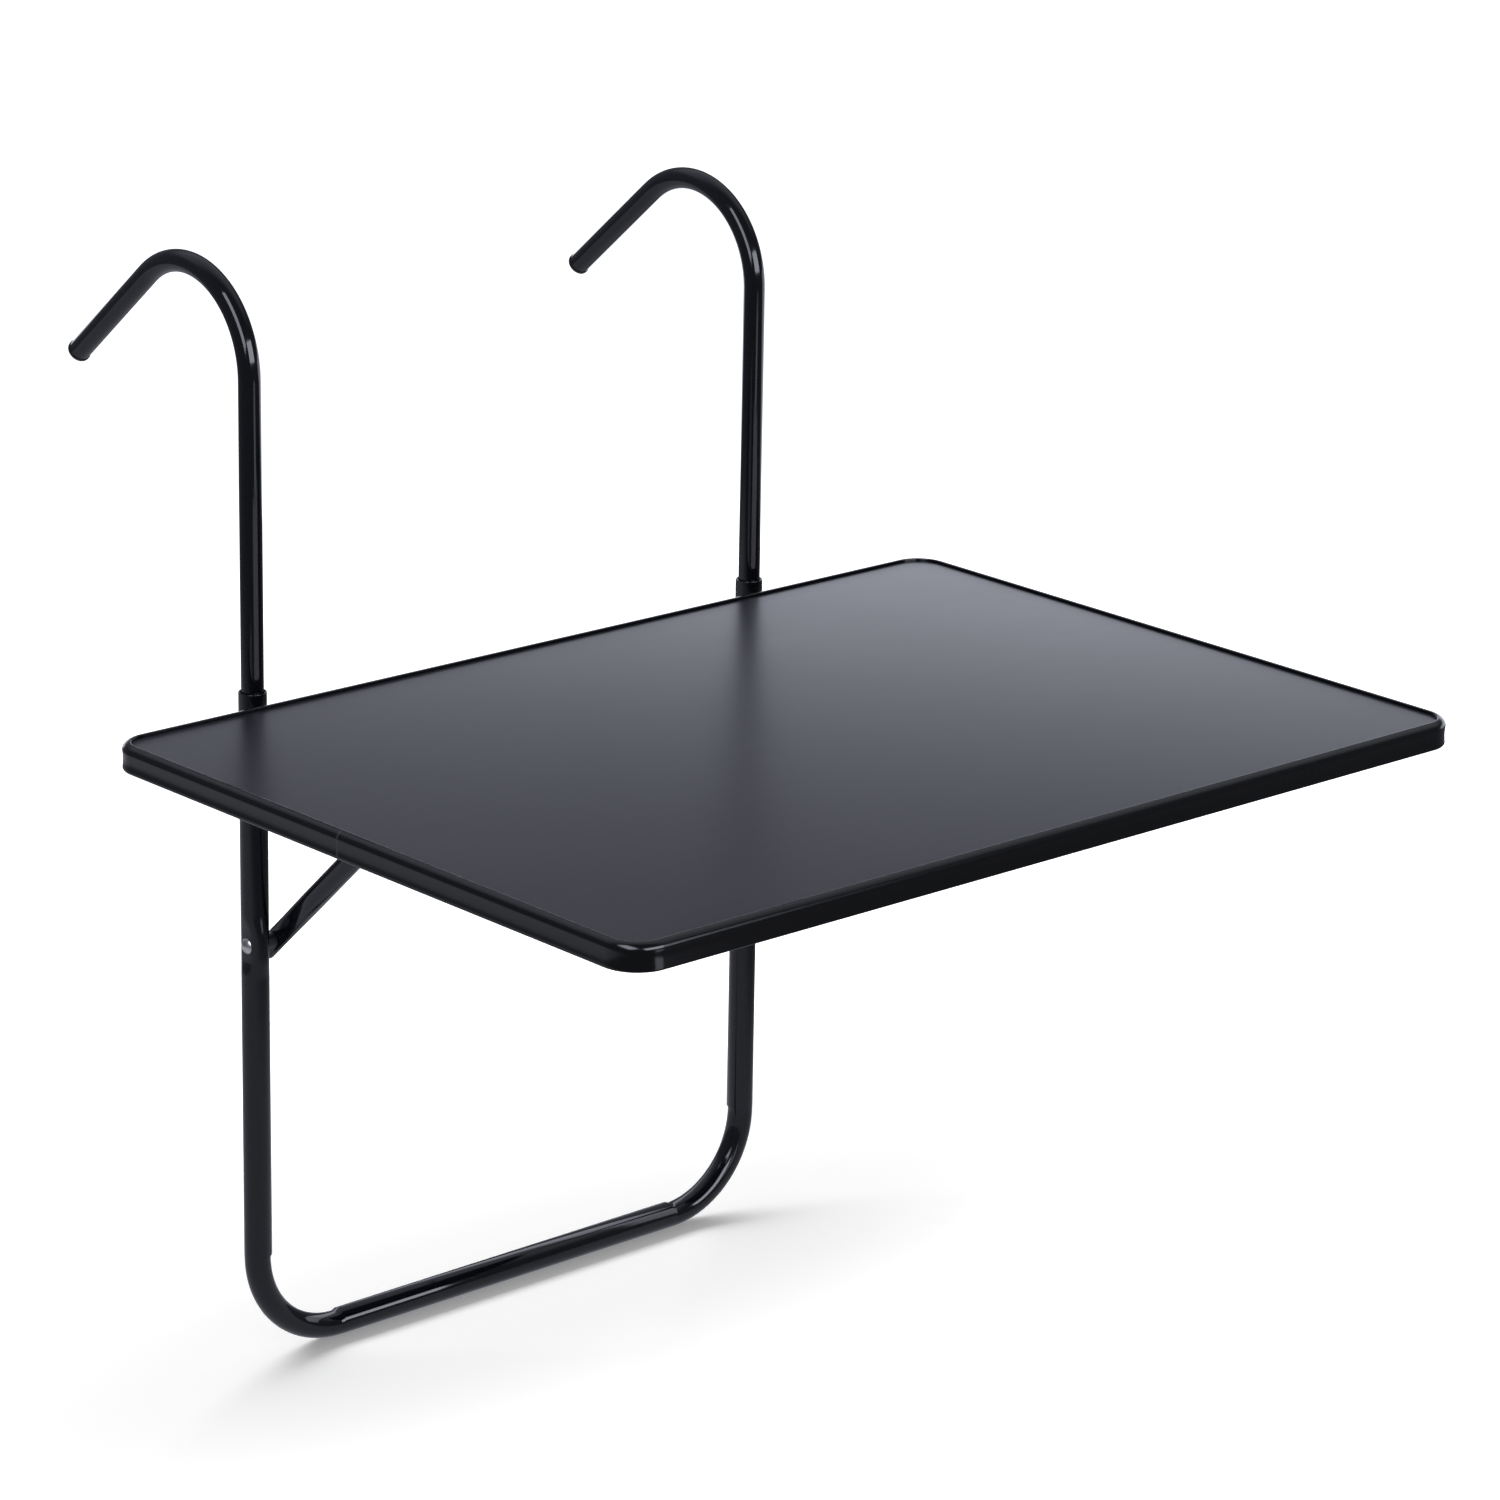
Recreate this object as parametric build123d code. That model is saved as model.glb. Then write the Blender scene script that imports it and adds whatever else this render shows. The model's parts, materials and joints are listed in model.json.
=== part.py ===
from build123d import *
import os
from math import cos, radians, sin, tan

# Folding balcony table that hangs on a railing by two hooks. Millimetres.
# X runs along the railing, Y points from the table over the railing, Z points up.
# The origin is where the railing's top touches the hooks, half way between them.

# Table top
top_width = 600.0
top_depth = 430.0
top_corner_radius = 21.0
rail_to_top = 223.5
board_thickness = 12.0
edging_wall = 2.5
edging_lip = 2.5
edging_rise = 1.5
edging_crest_flat = 0.15
edging_foot_radius = 1.2
edging_inner_radius = 0.6
edging_hollow = 0.35
spine_depth = 7.0
spine_thickness = 2.0
spine_clearance = 0.2
rebate_depth = 0.5
rebate_clearance = 0.1
butt_joint_gap = 0.3
butt_joint_from_rear = 200.0

# Tubes
frame_tube_diameter = 15.9
hook_tube_diameter = 12.7
tube_wall = 1.0

# U-shaped frame
upright_spacing = 367.0
upright_behind_top = 25.5
upright_top_below_top = 1.5
bottom_bar_below_top = 393.0
frame_bend_radius = 56.0
bend_dent_in_plane = 0.65
bend_dent_across = 0.2
bend_shift_outward = 0.5
pressed_thickness = 11.9
pressed_width = 18.2
pressed_flat_height = 12.0
pressed_height = 40.0

# Hooks
hook_bend_radius = 56.0
hook_arm_drop_angle = 40.0
hook_arm_length = 86.0
hook_insertion = 90.0
plug_flange_diameter = 13.6
plug_flange_thickness = 1.8
plug_edge_radius = 0.7
plug_stem_length = 12.0
plug_clearance = 0.1
glide_flange_thickness = 4.0
glide_stem_length = 14.0
running_clearance = 0.05
side_gap = 0.15

# Brace and its rivets
brace_pivot_below_top = 149.0
brace_rise_angle = 43.0
brace_bend_radius = 35.0
brace_flat_thickness = 4.4
brace_flat_width = 12.9
brace_flat_length = 8.0
brace_neck_end = 52.0
brace_tip_length = 11.0
brace_upright_clearance = 0.6
brace_drain_diameter = 4.0
brace_rivet_diameter = 5.0
brace_rivet_head_diameter = 9.0
brace_rivet_head_height = 2.2
brace_washer_diameter = 9.0

# Hinge of the top
hinge_behind_top = 8.0
hinge_below_edging = 3.0
hinge_eye_radius = 7.0
hinge_rivet_diameter = 6.0
hinge_rivet_head_diameter = 10.0
hinge_rivet_head_height = 1.8
lug_thickness = 3.0
hinge_washer_diameter = 13.0
hinge_washer_thickness = 0.8
bracket_thickness = 2.5
bracket_width = 25.0
bracket_front = 62.0
bracket_rear = 6.5
bracket_corner_radius = 4.0
ear_front = 45.0
ear_taper_start = 28.0
ear_edging_gap = 0.3

# Catches under the board
catch_spacing = 190.0
catch_roof = 1.7
catch_clearance = 1.3
catch_lip_angle = 52.0
catch_width = 22.0
catch_flange_thickness = 3.0
catch_front = 13.0
catch_rear = 11.0
catch_rear_drop = 1.0
catch_corner_radius = 3.0
catch_screw_spacing = 40.0
catch_screw_margin = 6.0

# Wood screws
screw_diameter = 3.4
screw_grip = 9.0
screw_head_diameter = 7.0
screw_head_height = 2.2
screw_head_edge_radius = 1.0
screw_recess_diameter = 2.6
screw_recess_depth = 1.2
screw_hole_clearance = 0.1
bracket_screw_spacing = 30.0

# Clamp screws that lock the hooks
clamp_below_mouth = 44.0
clamp_screw_diameter = 6.0
clamp_screw_length = 24.0
clamp_tip_gap = 0.35
clamp_nut_width = 10.0
clamp_nut_height = 5.0
clamp_nut_sink = 2.0
clamp_hole_clearance = 0.3
knob_diameter = 21.0
knob_height = 12.0
knob_cover = 4.0
knob_boss_diameter = 12.0
knob_boss_height = 3.0
knob_flute_count = 6
knob_flute_radius = 2.4
knob_edge_radius = 0.8

# Places worked out from the sizes above
frame_radius = frame_tube_diameter / 2
hook_radius = hook_tube_diameter / 2
hook_bore_radius = hook_radius - tube_wall
top_z = -rail_to_top
board_top_z = top_z - edging_rise
board_bottom_z = board_top_z - board_thickness
board_mid_z = (board_top_z + board_bottom_z) / 2
edging_bottom_z = board_bottom_z - edging_rise
edging_crest_radius = edging_wall + edging_lip - edging_inner_radius - edging_crest_flat
board_width = top_width - 2 * edging_wall
board_depth = top_depth - 2 * edging_wall
board_corner_radius = top_corner_radius - edging_wall
upright_x = upright_spacing / 2
upright_y = -hook_bend_radius
upright_top_z = top_z - upright_top_below_top
rear_edge_y = upright_y - upright_behind_top
top_centre_y = rear_edge_y - top_depth / 2
bottom_bar_z = top_z - bottom_bar_below_top
bend_z = bottom_bar_z + frame_bend_radius
bend_x = upright_x - frame_bend_radius
brace_pivot_z = top_z - brace_pivot_below_top
hinge_y = rear_edge_y + hinge_behind_top
hinge_z = edging_bottom_z - hinge_below_edging
hook_centre_z = hook_radius - hook_bend_radius
hook_bottom_z = upright_top_z - hook_insertion
pressed_inner_x = upright_x - pressed_thickness / 2
pressed_outer_x = upright_x + pressed_thickness / 2
brace_leg_x = upright_x - frame_radius - brace_upright_clearance - hook_radius
brace_outer_x = brace_leg_x + brace_flat_thickness / 2
brace_inner_x = brace_leg_x - brace_flat_thickness / 2
brace_washer_thickness = pressed_inner_x - side_gap - brace_outer_x
catch_notch_radius = hook_radius + catch_clearance
brace_bar_z = board_bottom_z - catch_roof - catch_notch_radius
brace_rise = brace_bar_z - brace_pivot_z
brace_length = brace_rise / sin(radians(brace_rise_angle))
brace_bar_y = upright_y - brace_rise / tan(radians(brace_rise_angle))
lug_inner_x = upright_x - lug_thickness / 2
lug_outer_x = upright_x + lug_thickness / 2
ear_outer_x = lug_inner_x - hinge_washer_thickness - 2 * side_gap
ear_inner_x = ear_outer_x - bracket_thickness
bracket_mid_x = ear_outer_x - bracket_width / 2
bracket_mid_y = rear_edge_y - (bracket_front + bracket_rear) / 2
bracket_bottom_z = board_bottom_z - bracket_thickness
catch_x = catch_spacing / 2
catch_flange_z = board_bottom_z - catch_flange_thickness
clamp_z = upright_top_z - clamp_below_mouth
clamp_tip_x = upright_x - hook_radius - clamp_tip_gap
clamp_end_x = clamp_tip_x - clamp_screw_length
nut_inner_x = upright_x - frame_radius - clamp_nut_height


# Basic shapes
def rod_x(radius, x_start, x_end, y, z):
    """A round rod along X."""
    return Pos((x_start + x_end) / 2, y, z) * Rot(0, 90, 0) * Cylinder(radius, abs(x_end - x_start))


def rod_z(radius, x, y, z_low, z_high):
    """A round rod along Z."""
    return Pos(x, y, (z_low + z_high) / 2) * Cylinder(radius, z_high - z_low)


def block(x_low, x_high, y_low, y_high, z_low, z_high):
    """A block between two opposite corners."""
    size = Box(x_high - x_low, y_high - y_low, z_high - z_low)
    return Pos((x_low + x_high) / 2, (y_low + y_high) / 2, (z_low + z_high) / 2) * size


def plate_x(outline, x_low, x_high):
    """A plate whose outline is drawn in Y and Z."""
    plane = Plane(origin=(x_low, 0, 0), x_dir=(0, 1, 0), z_dir=(1, 0, 0))
    return extrude(plane * outline, amount=x_high - x_low)


def rounded_slab(width, depth, corner_radius, z_low, z_high):
    """A slab with rounded corners, centred on the table top."""
    outline = Pos(0, top_centre_y, z_low) * RectangleRounded(width, depth, corner_radius)
    return extrude(outline, amount=z_high - z_low)


def round_section(radius):
    """A tube's round outline in six arcs, which match the edges of a flat section."""
    centre = (0, 0)
    arcs = [
        CenterArc(centre, radius, 135, -90),
        CenterArc(centre, radius, 45, -45),
        CenterArc(centre, radius, 0, -45),
        CenterArc(centre, radius, -45, -90),
        CenterArc(centre, radius, -135, -45),
        CenterArc(centre, radius, 180, -45),
    ]
    return make_face(arcs)


def flat_section(width, thickness):
    """A pressed tube's outline: two flat sides and two round ends."""
    half = thickness / 2
    side = width / 2 - half
    edges = [
        Line((-side, half), (side, half)),
        CenterArc((side, 0), half, 90, -90),
        CenterArc((side, 0), half, 0, -90),
        Line((side, -half), (-side, -half)),
        CenterArc((-side, 0), half, -90, -90),
        CenterArc((-side, 0), half, 180, -90),
    ]
    return make_face(edges)


def section_plane(x, y, z):
    """A level plane whose first axis runs along Y, for tube sections."""
    return Plane(origin=(x, y, z), x_dir=(0, 1, 0), z_dir=(0, 0, 1))


def left_of(shape):
    """The mirror image of a right-hand piece."""
    return mirror(shape, about=Plane.YZ)


# U-shaped frame
def upright_core(inset):
    """The right upright and its bend, as the outside of the tube or, with an inset, as its bore."""
    radius = frame_radius - inset
    pressed = flat_section(pressed_width - 2 * inset, pressed_thickness - 2 * inset)
    flat_half = pressed_flat_height / 2
    half = pressed_height / 2
    high = brace_pivot_z + half
    low = brace_pivot_z - half
    top_round = section_plane(upright_x, upright_y, high) * round_section(radius)
    top_flat = section_plane(upright_x, upright_y, brace_pivot_z + flat_half) * pressed
    low_flat = section_plane(upright_x, upright_y, brace_pivot_z - flat_half) * pressed
    low_round = section_plane(upright_x, upright_y, low) * round_section(radius)
    bend_section = Ellipse(radius - bend_dent_in_plane, radius - bend_dent_across, rotation=0)
    bend_start = Pos(upright_x + bend_shift_outward, upright_y, bend_z) * bend_section
    bend_axis = Axis((bend_x, upright_y, bend_z), (0, 1, 0))
    return (
        rod_z(radius, upright_x, upright_y, high, upright_top_z)
        + loft([top_round, top_flat])
        + extrude(low_flat, amount=pressed_flat_height)
        + loft([low_flat, low_round])
        + rod_z(radius, upright_x, upright_y, bend_z, low)
        + revolve(bend_start, bend_axis, 90)
    )


def frame_core(inset):
    """The whole bent tube, as its outside or as its bore."""
    right = upright_core(inset)
    bar = rod_x(frame_radius - inset, -bend_x, bend_x, upright_y, bottom_bar_z)
    return right + left_of(right) + bar


def make_u_frame():
    """One bent tube with holes for the brace rivets and the clamp screws."""
    tube = frame_core(0) - frame_core(tube_wall)
    rivet_radius = brace_rivet_diameter / 2 + running_clearance
    screw_radius = clamp_screw_diameter / 2 + clamp_hole_clearance
    inner_x = upright_x - frame_radius
    outer_x = upright_x + frame_radius
    rivet_hole = rod_x(rivet_radius, inner_x, outer_x, upright_y, brace_pivot_z)
    screw_hole = rod_x(screw_radius, upright_x - frame_radius, upright_x, upright_y, clamp_z)
    holes = rivet_hole + screw_hole
    return tube - holes - left_of(holes)


def make_hinge_lug():
    """A plate welded to the front of the upright."""
    eye = Pos(hinge_y, hinge_z) * Circle(hinge_eye_radius)
    root = Pos((hinge_y + upright_y) / 2, hinge_z) * Rectangle(upright_y - hinge_y, 2 * hinge_eye_radius)
    hole = Pos(hinge_y, hinge_z) * Circle(hinge_rivet_diameter / 2 + running_clearance)
    plate = plate_x(eye + root - hole, lug_inner_x, lug_outer_x)
    upright = rod_z(frame_radius, upright_x, upright_y, brace_pivot_z, upright_top_z)
    return plate - upright


def make_clamp_nut():
    """A hexagon nut welded over the clamp screw's hole."""
    base_x = upright_x - frame_radius + clamp_nut_sink
    hexagon = RegularPolygon(clamp_nut_width / 2, 6, major_radius=False)
    hole = Circle(clamp_screw_diameter / 2 + running_clearance)
    body = plate_x(Pos(upright_y, clamp_z) * (hexagon - hole), nut_inner_x, base_x)
    upright = rod_z(frame_radius, upright_x, upright_y, brace_pivot_z, upright_top_z)
    return body - upright


def rivet_head(radius, height, x_seat, direction, y, z):
    """A domed rivet head on a seat that faces along X."""
    half_section = make_face(
        [
            Line((0, 0), (radius, 0)),
            TangentArc((0, height), (radius, 0), tangent=(1, 0)),
            Line((0, height), (0, 0)),
        ]
    )
    seat = Plane(origin=(x_seat, y, z), x_dir=(0, 1, 0), z_dir=(0, 0, -direction))
    return revolve(seat * half_section, Axis((x_seat, y, z), (1, 0, 0)), 360)


def make_brace_rivet():
    """A rivet through the upright, the washer and the brace's flat end."""
    shank_radius = brace_rivet_diameter / 2
    head_radius = brace_rivet_head_diameter / 2
    inner_seat_x = brace_inner_x - side_gap
    shank = rod_x(shank_radius, inner_seat_x, pressed_outer_x, upright_y, brace_pivot_z)
    outer = rivet_head(head_radius, brace_rivet_head_height, pressed_outer_x, 1, upright_y, brace_pivot_z)
    inner = rivet_head(head_radius, brace_rivet_head_height, inner_seat_x, -1, upright_y, brace_pivot_z)
    return shank + outer + inner


def make_brace_washer():
    """A moulded spacer between the upright and the brace."""
    outer_x = pressed_inner_x
    inner_x = outer_x - brace_washer_thickness
    hole_radius = brace_rivet_diameter / 2 + running_clearance
    disc = rod_x(brace_washer_diameter / 2, inner_x, outer_x, upright_y, brace_pivot_z)
    return disc - rod_x(hole_radius, inner_x, outer_x, upright_y, brace_pivot_z)


def make_hinge_rivet():
    """A rivet that joins the lug and the bracket's ear."""
    head_radius = hinge_rivet_head_diameter / 2
    inner_seat_x = ear_inner_x - side_gap
    shank = rod_x(hinge_rivet_diameter / 2, inner_seat_x, lug_outer_x, hinge_y, hinge_z)
    outer = rivet_head(head_radius, hinge_rivet_head_height, lug_outer_x, 1, hinge_y, hinge_z)
    inner = rivet_head(head_radius, hinge_rivet_head_height, inner_seat_x, -1, hinge_y, hinge_z)
    return shank + outer + inner


def make_hinge_washer():
    """A thin washer between the lug and the bracket's ear."""
    outer_x = lug_inner_x - side_gap
    inner_x = outer_x - hinge_washer_thickness
    hole_radius = hinge_rivet_diameter / 2 + running_clearance
    disc = rod_x(hinge_washer_diameter / 2, inner_x, outer_x, hinge_y, hinge_z)
    return disc - rod_x(hole_radius, inner_x, outer_x, hinge_y, hinge_z)


# Table top
def make_board():
    """The board, rebated and grooved round its edge for the edging and drilled for the screws."""
    rebate_width = edging_lip + rebate_clearance
    face_width = board_width - 2 * rebate_width
    face_depth = board_depth - 2 * rebate_width
    face_corner_radius = board_corner_radius - rebate_width
    rim_low = board_bottom_z + rebate_depth
    rim_high = board_top_z - rebate_depth
    board = rounded_slab(board_width, board_depth, board_corner_radius, rim_low, rim_high)
    board += rounded_slab(face_width, face_depth, face_corner_radius, board_bottom_z, board_top_z)
    groove_depth = spine_depth + spine_clearance
    groove_half = spine_thickness / 2 + spine_clearance
    groove_low = board_mid_z - groove_half
    groove_high = board_mid_z + groove_half
    core_width = board_width - 2 * groove_depth
    core_depth = board_depth - 2 * groove_depth
    core_corner_radius = board_corner_radius - groove_depth
    groove = rounded_slab(board_width, board_depth, board_corner_radius, groove_low, groove_high)
    groove -= rounded_slab(core_width, core_depth, core_corner_radius, groove_low, groove_high)
    hole_radius = screw_diameter / 2 + screw_hole_clearance
    hole_depth = screw_grip + screw_hole_clearance
    holes = [
        rod_z(hole_radius, x, y, board_bottom_z, board_bottom_z + hole_depth)
        for x, y in bracket_screw_places() + catch_screw_places()
    ]
    return board - groove - holes


def edging_profile():
    """The edging's section: distance out from the board's edge, and height from its middle."""
    top = board_thickness / 2 + edging_rise
    seat = board_thickness / 2 - rebate_depth
    spine = spine_thickness / 2
    crest = Pos(edging_wall - edging_crest_radius, top - edging_crest_radius)
    foot_high = edging_foot_radius - top
    crest_low = top - edging_crest_radius
    inner_start = edging_inner_radius - edging_lip
    hollow_middle = (edging_wall - edging_hollow, (crest_low + foot_high) / 2)
    edges = [
        Line((inner_start, top), (crest.position.X, top)),
        crest * CenterArc((0, 0), edging_crest_radius, 90, -90),
        ThreePointArc((edging_wall, crest_low), hollow_middle, (edging_wall, foot_high)),
        CenterArc((edging_wall - edging_foot_radius, foot_high), edging_foot_radius, 0, -90),
        Polyline(
            (edging_wall - edging_foot_radius, -top),
            (-edging_lip, -top),
            (-edging_lip, -seat),
            (0, -seat),
            (0, -spine),
            (-spine_depth, -spine),
            (-spine_depth, spine),
            (0, spine),
            (0, seat),
            (-edging_lip, seat),
            (-edging_lip, top - edging_inner_radius),
        ),
        CenterArc((inner_start, top - edging_inner_radius), edging_inner_radius, 180, -90),
    ]
    return make_face(edges)


def make_edging():
    """One strip pressed round the board, with a butt joint on the left side."""
    half_width = board_width / 2
    half_depth = board_depth / 2
    straight_x = board_width - 2 * board_corner_radius
    straight_y = board_depth - 2 * board_corner_radius
    corner_x = straight_x / 2
    corner_y = straight_y / 2
    profile = edging_profile()
    side_plane = Plane(origin=(half_width, 0, 0), x_dir=(1, 0, 0), z_dir=(0, -1, 0))
    rear_plane = Plane(origin=(0, half_depth, 0), x_dir=(0, 1, 0), z_dir=(1, 0, 0))
    corner_plane = Plane(origin=(half_width, corner_y, 0), x_dir=(1, 0, 0), z_dir=(0, -1, 0))
    side = extrude(side_plane * profile, amount=straight_y / 2, both=True)
    rear = extrude(rear_plane * profile, amount=straight_x / 2, both=True)
    corner = revolve(corner_plane * profile, Axis((corner_x, corner_y, 0), (0, 0, 1)), 90)
    rear_half = rear + corner + left_of(corner)
    front_half = mirror(rear_half, about=Plane.XZ)
    ring = Pos(0, top_centre_y, board_mid_z) * (rear_half + front_half + side + left_of(side))
    joint_y = rear_edge_y - butt_joint_from_rear
    joint_low = joint_y - butt_joint_gap / 2
    joint_high = joint_y + butt_joint_gap / 2
    return ring - block(-top_width, 0, joint_low, joint_high, edging_bottom_z, top_z)


def make_hinge_bracket():
    """A bent plate: a flange under the board and an ear that reaches back to the hinge rivet."""
    length = bracket_front - bracket_rear
    flange_outline = RectangleRounded(bracket_width, length, bracket_corner_radius)
    flange_place = Pos(bracket_mid_x, bracket_mid_y, bracket_bottom_z)
    flange = extrude(flange_place * flange_outline, amount=bracket_thickness)
    eye = Pos(hinge_y, hinge_z) * Circle(hinge_eye_radius)
    neck_top_z = edging_bottom_z - ear_edging_gap
    eye_bottom_z = hinge_z - hinge_eye_radius
    web = make_face(
        Polyline(
            (hinge_y, eye_bottom_z),
            (hinge_y, neck_top_z),
            (rear_edge_y - bracket_rear, neck_top_z),
            (rear_edge_y - bracket_rear, board_bottom_z),
            (rear_edge_y - ear_front, board_bottom_z),
            (rear_edge_y - ear_front, bracket_bottom_z),
            (rear_edge_y - ear_taper_start, eye_bottom_z),
            close=True,
        )
    )
    hole = Pos(hinge_y, hinge_z) * Circle(hinge_rivet_diameter / 2 + running_clearance)
    ear = plate_x(eye + web - hole, ear_inner_x, ear_outer_x)
    hole_radius = screw_diameter / 2 + screw_hole_clearance
    holes = [
        rod_z(hole_radius, x, y, bracket_bottom_z, board_bottom_z) for x, y in bracket_screw_places() if x > 0
    ]
    return flange + ear - holes


def make_catch():
    """A moulded saddle under the board. Its low front lip lets the brace swing out forward and down."""
    lip_angle = radians(catch_lip_angle)
    lip_y = brace_bar_y - catch_notch_radius * sin(lip_angle)
    lip_z = brace_bar_z + catch_notch_radius * cos(lip_angle)
    front_y = brace_bar_y - catch_front
    rear_y = brace_bar_y + catch_rear
    rear_z = brace_bar_z - catch_rear_drop
    outline = make_face(
        Polyline(
            (front_y, board_bottom_z),
            (front_y, lip_z),
            (lip_y, lip_z),
            (brace_bar_y, rear_z),
            (rear_y, rear_z),
            (rear_y, board_bottom_z),
            close=True,
        )
    )
    saddle = plate_x(outline, catch_x - catch_width / 2, catch_x + catch_width / 2)
    flange_length = catch_screw_spacing + 2 * catch_screw_margin
    flange_outline = RectangleRounded(catch_width, flange_length, catch_corner_radius)
    flange_place = Pos(catch_x, brace_bar_y, catch_flange_z)
    flange = extrude(flange_place * flange_outline, amount=catch_flange_thickness)
    notch = rod_x(catch_notch_radius, catch_x - catch_width, catch_x + catch_width, brace_bar_y, brace_bar_z)
    hole_radius = screw_diameter / 2 + screw_hole_clearance
    places = [(x, y) for x, y in catch_screw_places() if x > 0]
    holes = [rod_z(hole_radius, x, y, catch_flange_z, board_bottom_z) for x, y in places]
    return saddle + flange - notch - holes


def bracket_screw_places():
    """X and Y of the screws in both hinge brackets."""
    offsets = (-bracket_screw_spacing / 2, bracket_screw_spacing / 2)
    middle_x = bracket_mid_x - bracket_thickness
    return [(side * middle_x, bracket_mid_y + offset) for side in (-1, 1) for offset in offsets]


def catch_screw_places():
    """X and Y of the screws in both catches, one in front of the notch and one behind it."""
    offsets = (-catch_screw_spacing / 2, catch_screw_spacing / 2)
    return [(side * catch_x, brace_bar_y + offset) for side in (-1, 1) for offset in offsets]


def make_screw(x, y, seat_z):
    """A pan-head wood screw driven up into the board, with its head under seat_z."""
    shank = rod_z(screw_diameter / 2, x, y, seat_z, board_bottom_z + screw_grip)
    head = rod_z(screw_head_diameter / 2, x, y, seat_z - screw_head_height, seat_z)
    rim = head.edges().group_by(Axis.Z)[0]
    head = fillet(rim, screw_head_edge_radius)
    recess_top = seat_z - screw_head_height + screw_recess_depth
    recess = rod_z(screw_recess_diameter / 2, x, y, seat_z - screw_head_height, recess_top)
    return shank + head - recess


# Brace
def make_brace():
    """A U-shaped tube with pressed ends, drawn standing on its pivot and then leaned to its rest angle."""
    bend_end = brace_length - brace_bend_radius
    bar_end_x = brace_leg_x - brace_bend_radius
    bend_axis = Axis((bar_end_x, 0, bend_end), (0, -1, 0))

    def run(radius):
        leg = rod_z(radius, brace_leg_x, 0, brace_neck_end, bend_end)
        bend = revolve(Pos(brace_leg_x, 0, bend_end) * Circle(radius), bend_axis, 90)
        return leg + bend

    pressed = flat_section(brace_flat_width, brace_flat_thickness)
    round_end = section_plane(brace_leg_x, 0, brace_neck_end) * round_section(hook_radius)
    flat_end = section_plane(brace_leg_x, 0, brace_flat_length) * pressed
    neck = loft([flat_end, round_end])
    tongue_start = section_plane(brace_leg_x, 0, -brace_tip_length)
    tongue = extrude(tongue_start * pressed, amount=brace_tip_length + brace_flat_length)
    tip = rod_x(brace_flat_width / 2, brace_inner_x, brace_outer_x, 0, -brace_tip_length)
    hole = rod_x(brace_rivet_diameter / 2 + running_clearance, brace_inner_x, brace_outer_x, 0, 0)
    drain_height = brace_neck_end + hook_radius
    drain = rod_x(brace_drain_diameter / 2, brace_leg_x - hook_radius, brace_leg_x, 0, drain_height)
    outside = run(hook_radius) + neck + tongue + tip
    bore = run(hook_bore_radius)
    bar = rod_x(hook_radius, -bar_end_x, bar_end_x, 0, brace_length)
    bar_bore = rod_x(hook_bore_radius, -bar_end_x, bar_end_x, 0, brace_length)
    right_cuts = bore + hole + drain
    shape = outside + left_of(outside) + bar
    shape = shape - right_cuts - left_of(right_cuts) - bar_bore
    lean = 90 - brace_rise_angle
    return Pos(0, upright_y, brace_pivot_z) * Rot(lean, 0, 0) * shape


# Hooks
def arm_place(distance):
    """The frame at a distance along the right hook's free arm, with Z along the arm."""
    turn = radians(hook_arm_drop_angle)
    start_y = hook_bend_radius * sin(turn)
    start_z = hook_centre_z + hook_bend_radius * cos(turn)
    y = start_y + distance * cos(turn)
    z = start_z - distance * sin(turn)
    return Plane(origin=(upright_x, y, z), x_dir=(1, 0, 0), z_dir=(0, cos(turn), -sin(turn)))


def hook_core(radius):
    """The right hook's tube, as its outside or as its bore."""
    start = Pos(upright_x, upright_y, hook_centre_z) * Circle(radius)
    bend_axis = Axis((upright_x, 0, hook_centre_z), (-1, 0, 0))
    straight = rod_z(radius, upright_x, upright_y, hook_bottom_z, hook_centre_z)
    bend = revolve(start, bend_axis, 90 + hook_arm_drop_angle)
    arm = extrude(arm_place(0) * Circle(radius), amount=hook_arm_length)
    return straight + bend + arm


def make_hook():
    """A bent tube that slides and turns in the upright."""
    return hook_core(hook_radius) - hook_core(hook_bore_radius)


def make_hook_plug():
    """A plug in the hook's free end, with a thin flange."""
    on_base = (Align.CENTER, Align.CENTER, Align.MIN)
    flange = Cylinder(plug_flange_diameter / 2, plug_flange_thickness, align=on_base)
    flange = fillet(flange.edges().group_by(Axis.Z)[-1], plug_edge_radius)
    stem_radius = hook_bore_radius - plug_clearance
    stem = Cylinder(stem_radius, plug_stem_length, align=(Align.CENTER, Align.CENTER, Align.MAX))
    return arm_place(hook_arm_length).location * (flange + stem)


def make_hook_glide():
    """A plug that guides the hook's lower end in the upright and lets the hook turn on it."""
    flange_radius = frame_radius - tube_wall - running_clearance
    flange_top_z = hook_bottom_z - side_gap
    flange_low_z = flange_top_z - glide_flange_thickness
    stem_radius = hook_bore_radius - running_clearance
    flange = rod_z(flange_radius, upright_x, upright_y, flange_low_z, flange_top_z)
    stem = rod_z(stem_radius, upright_x, upright_y, flange_top_z, flange_top_z + glide_stem_length)
    return flange + stem


# Clamp screws
def make_clamp_screw():
    """The threaded shaft that presses on the hook."""
    return rod_x(clamp_screw_diameter / 2, clamp_end_x, clamp_tip_x, upright_y, clamp_z)


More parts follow.
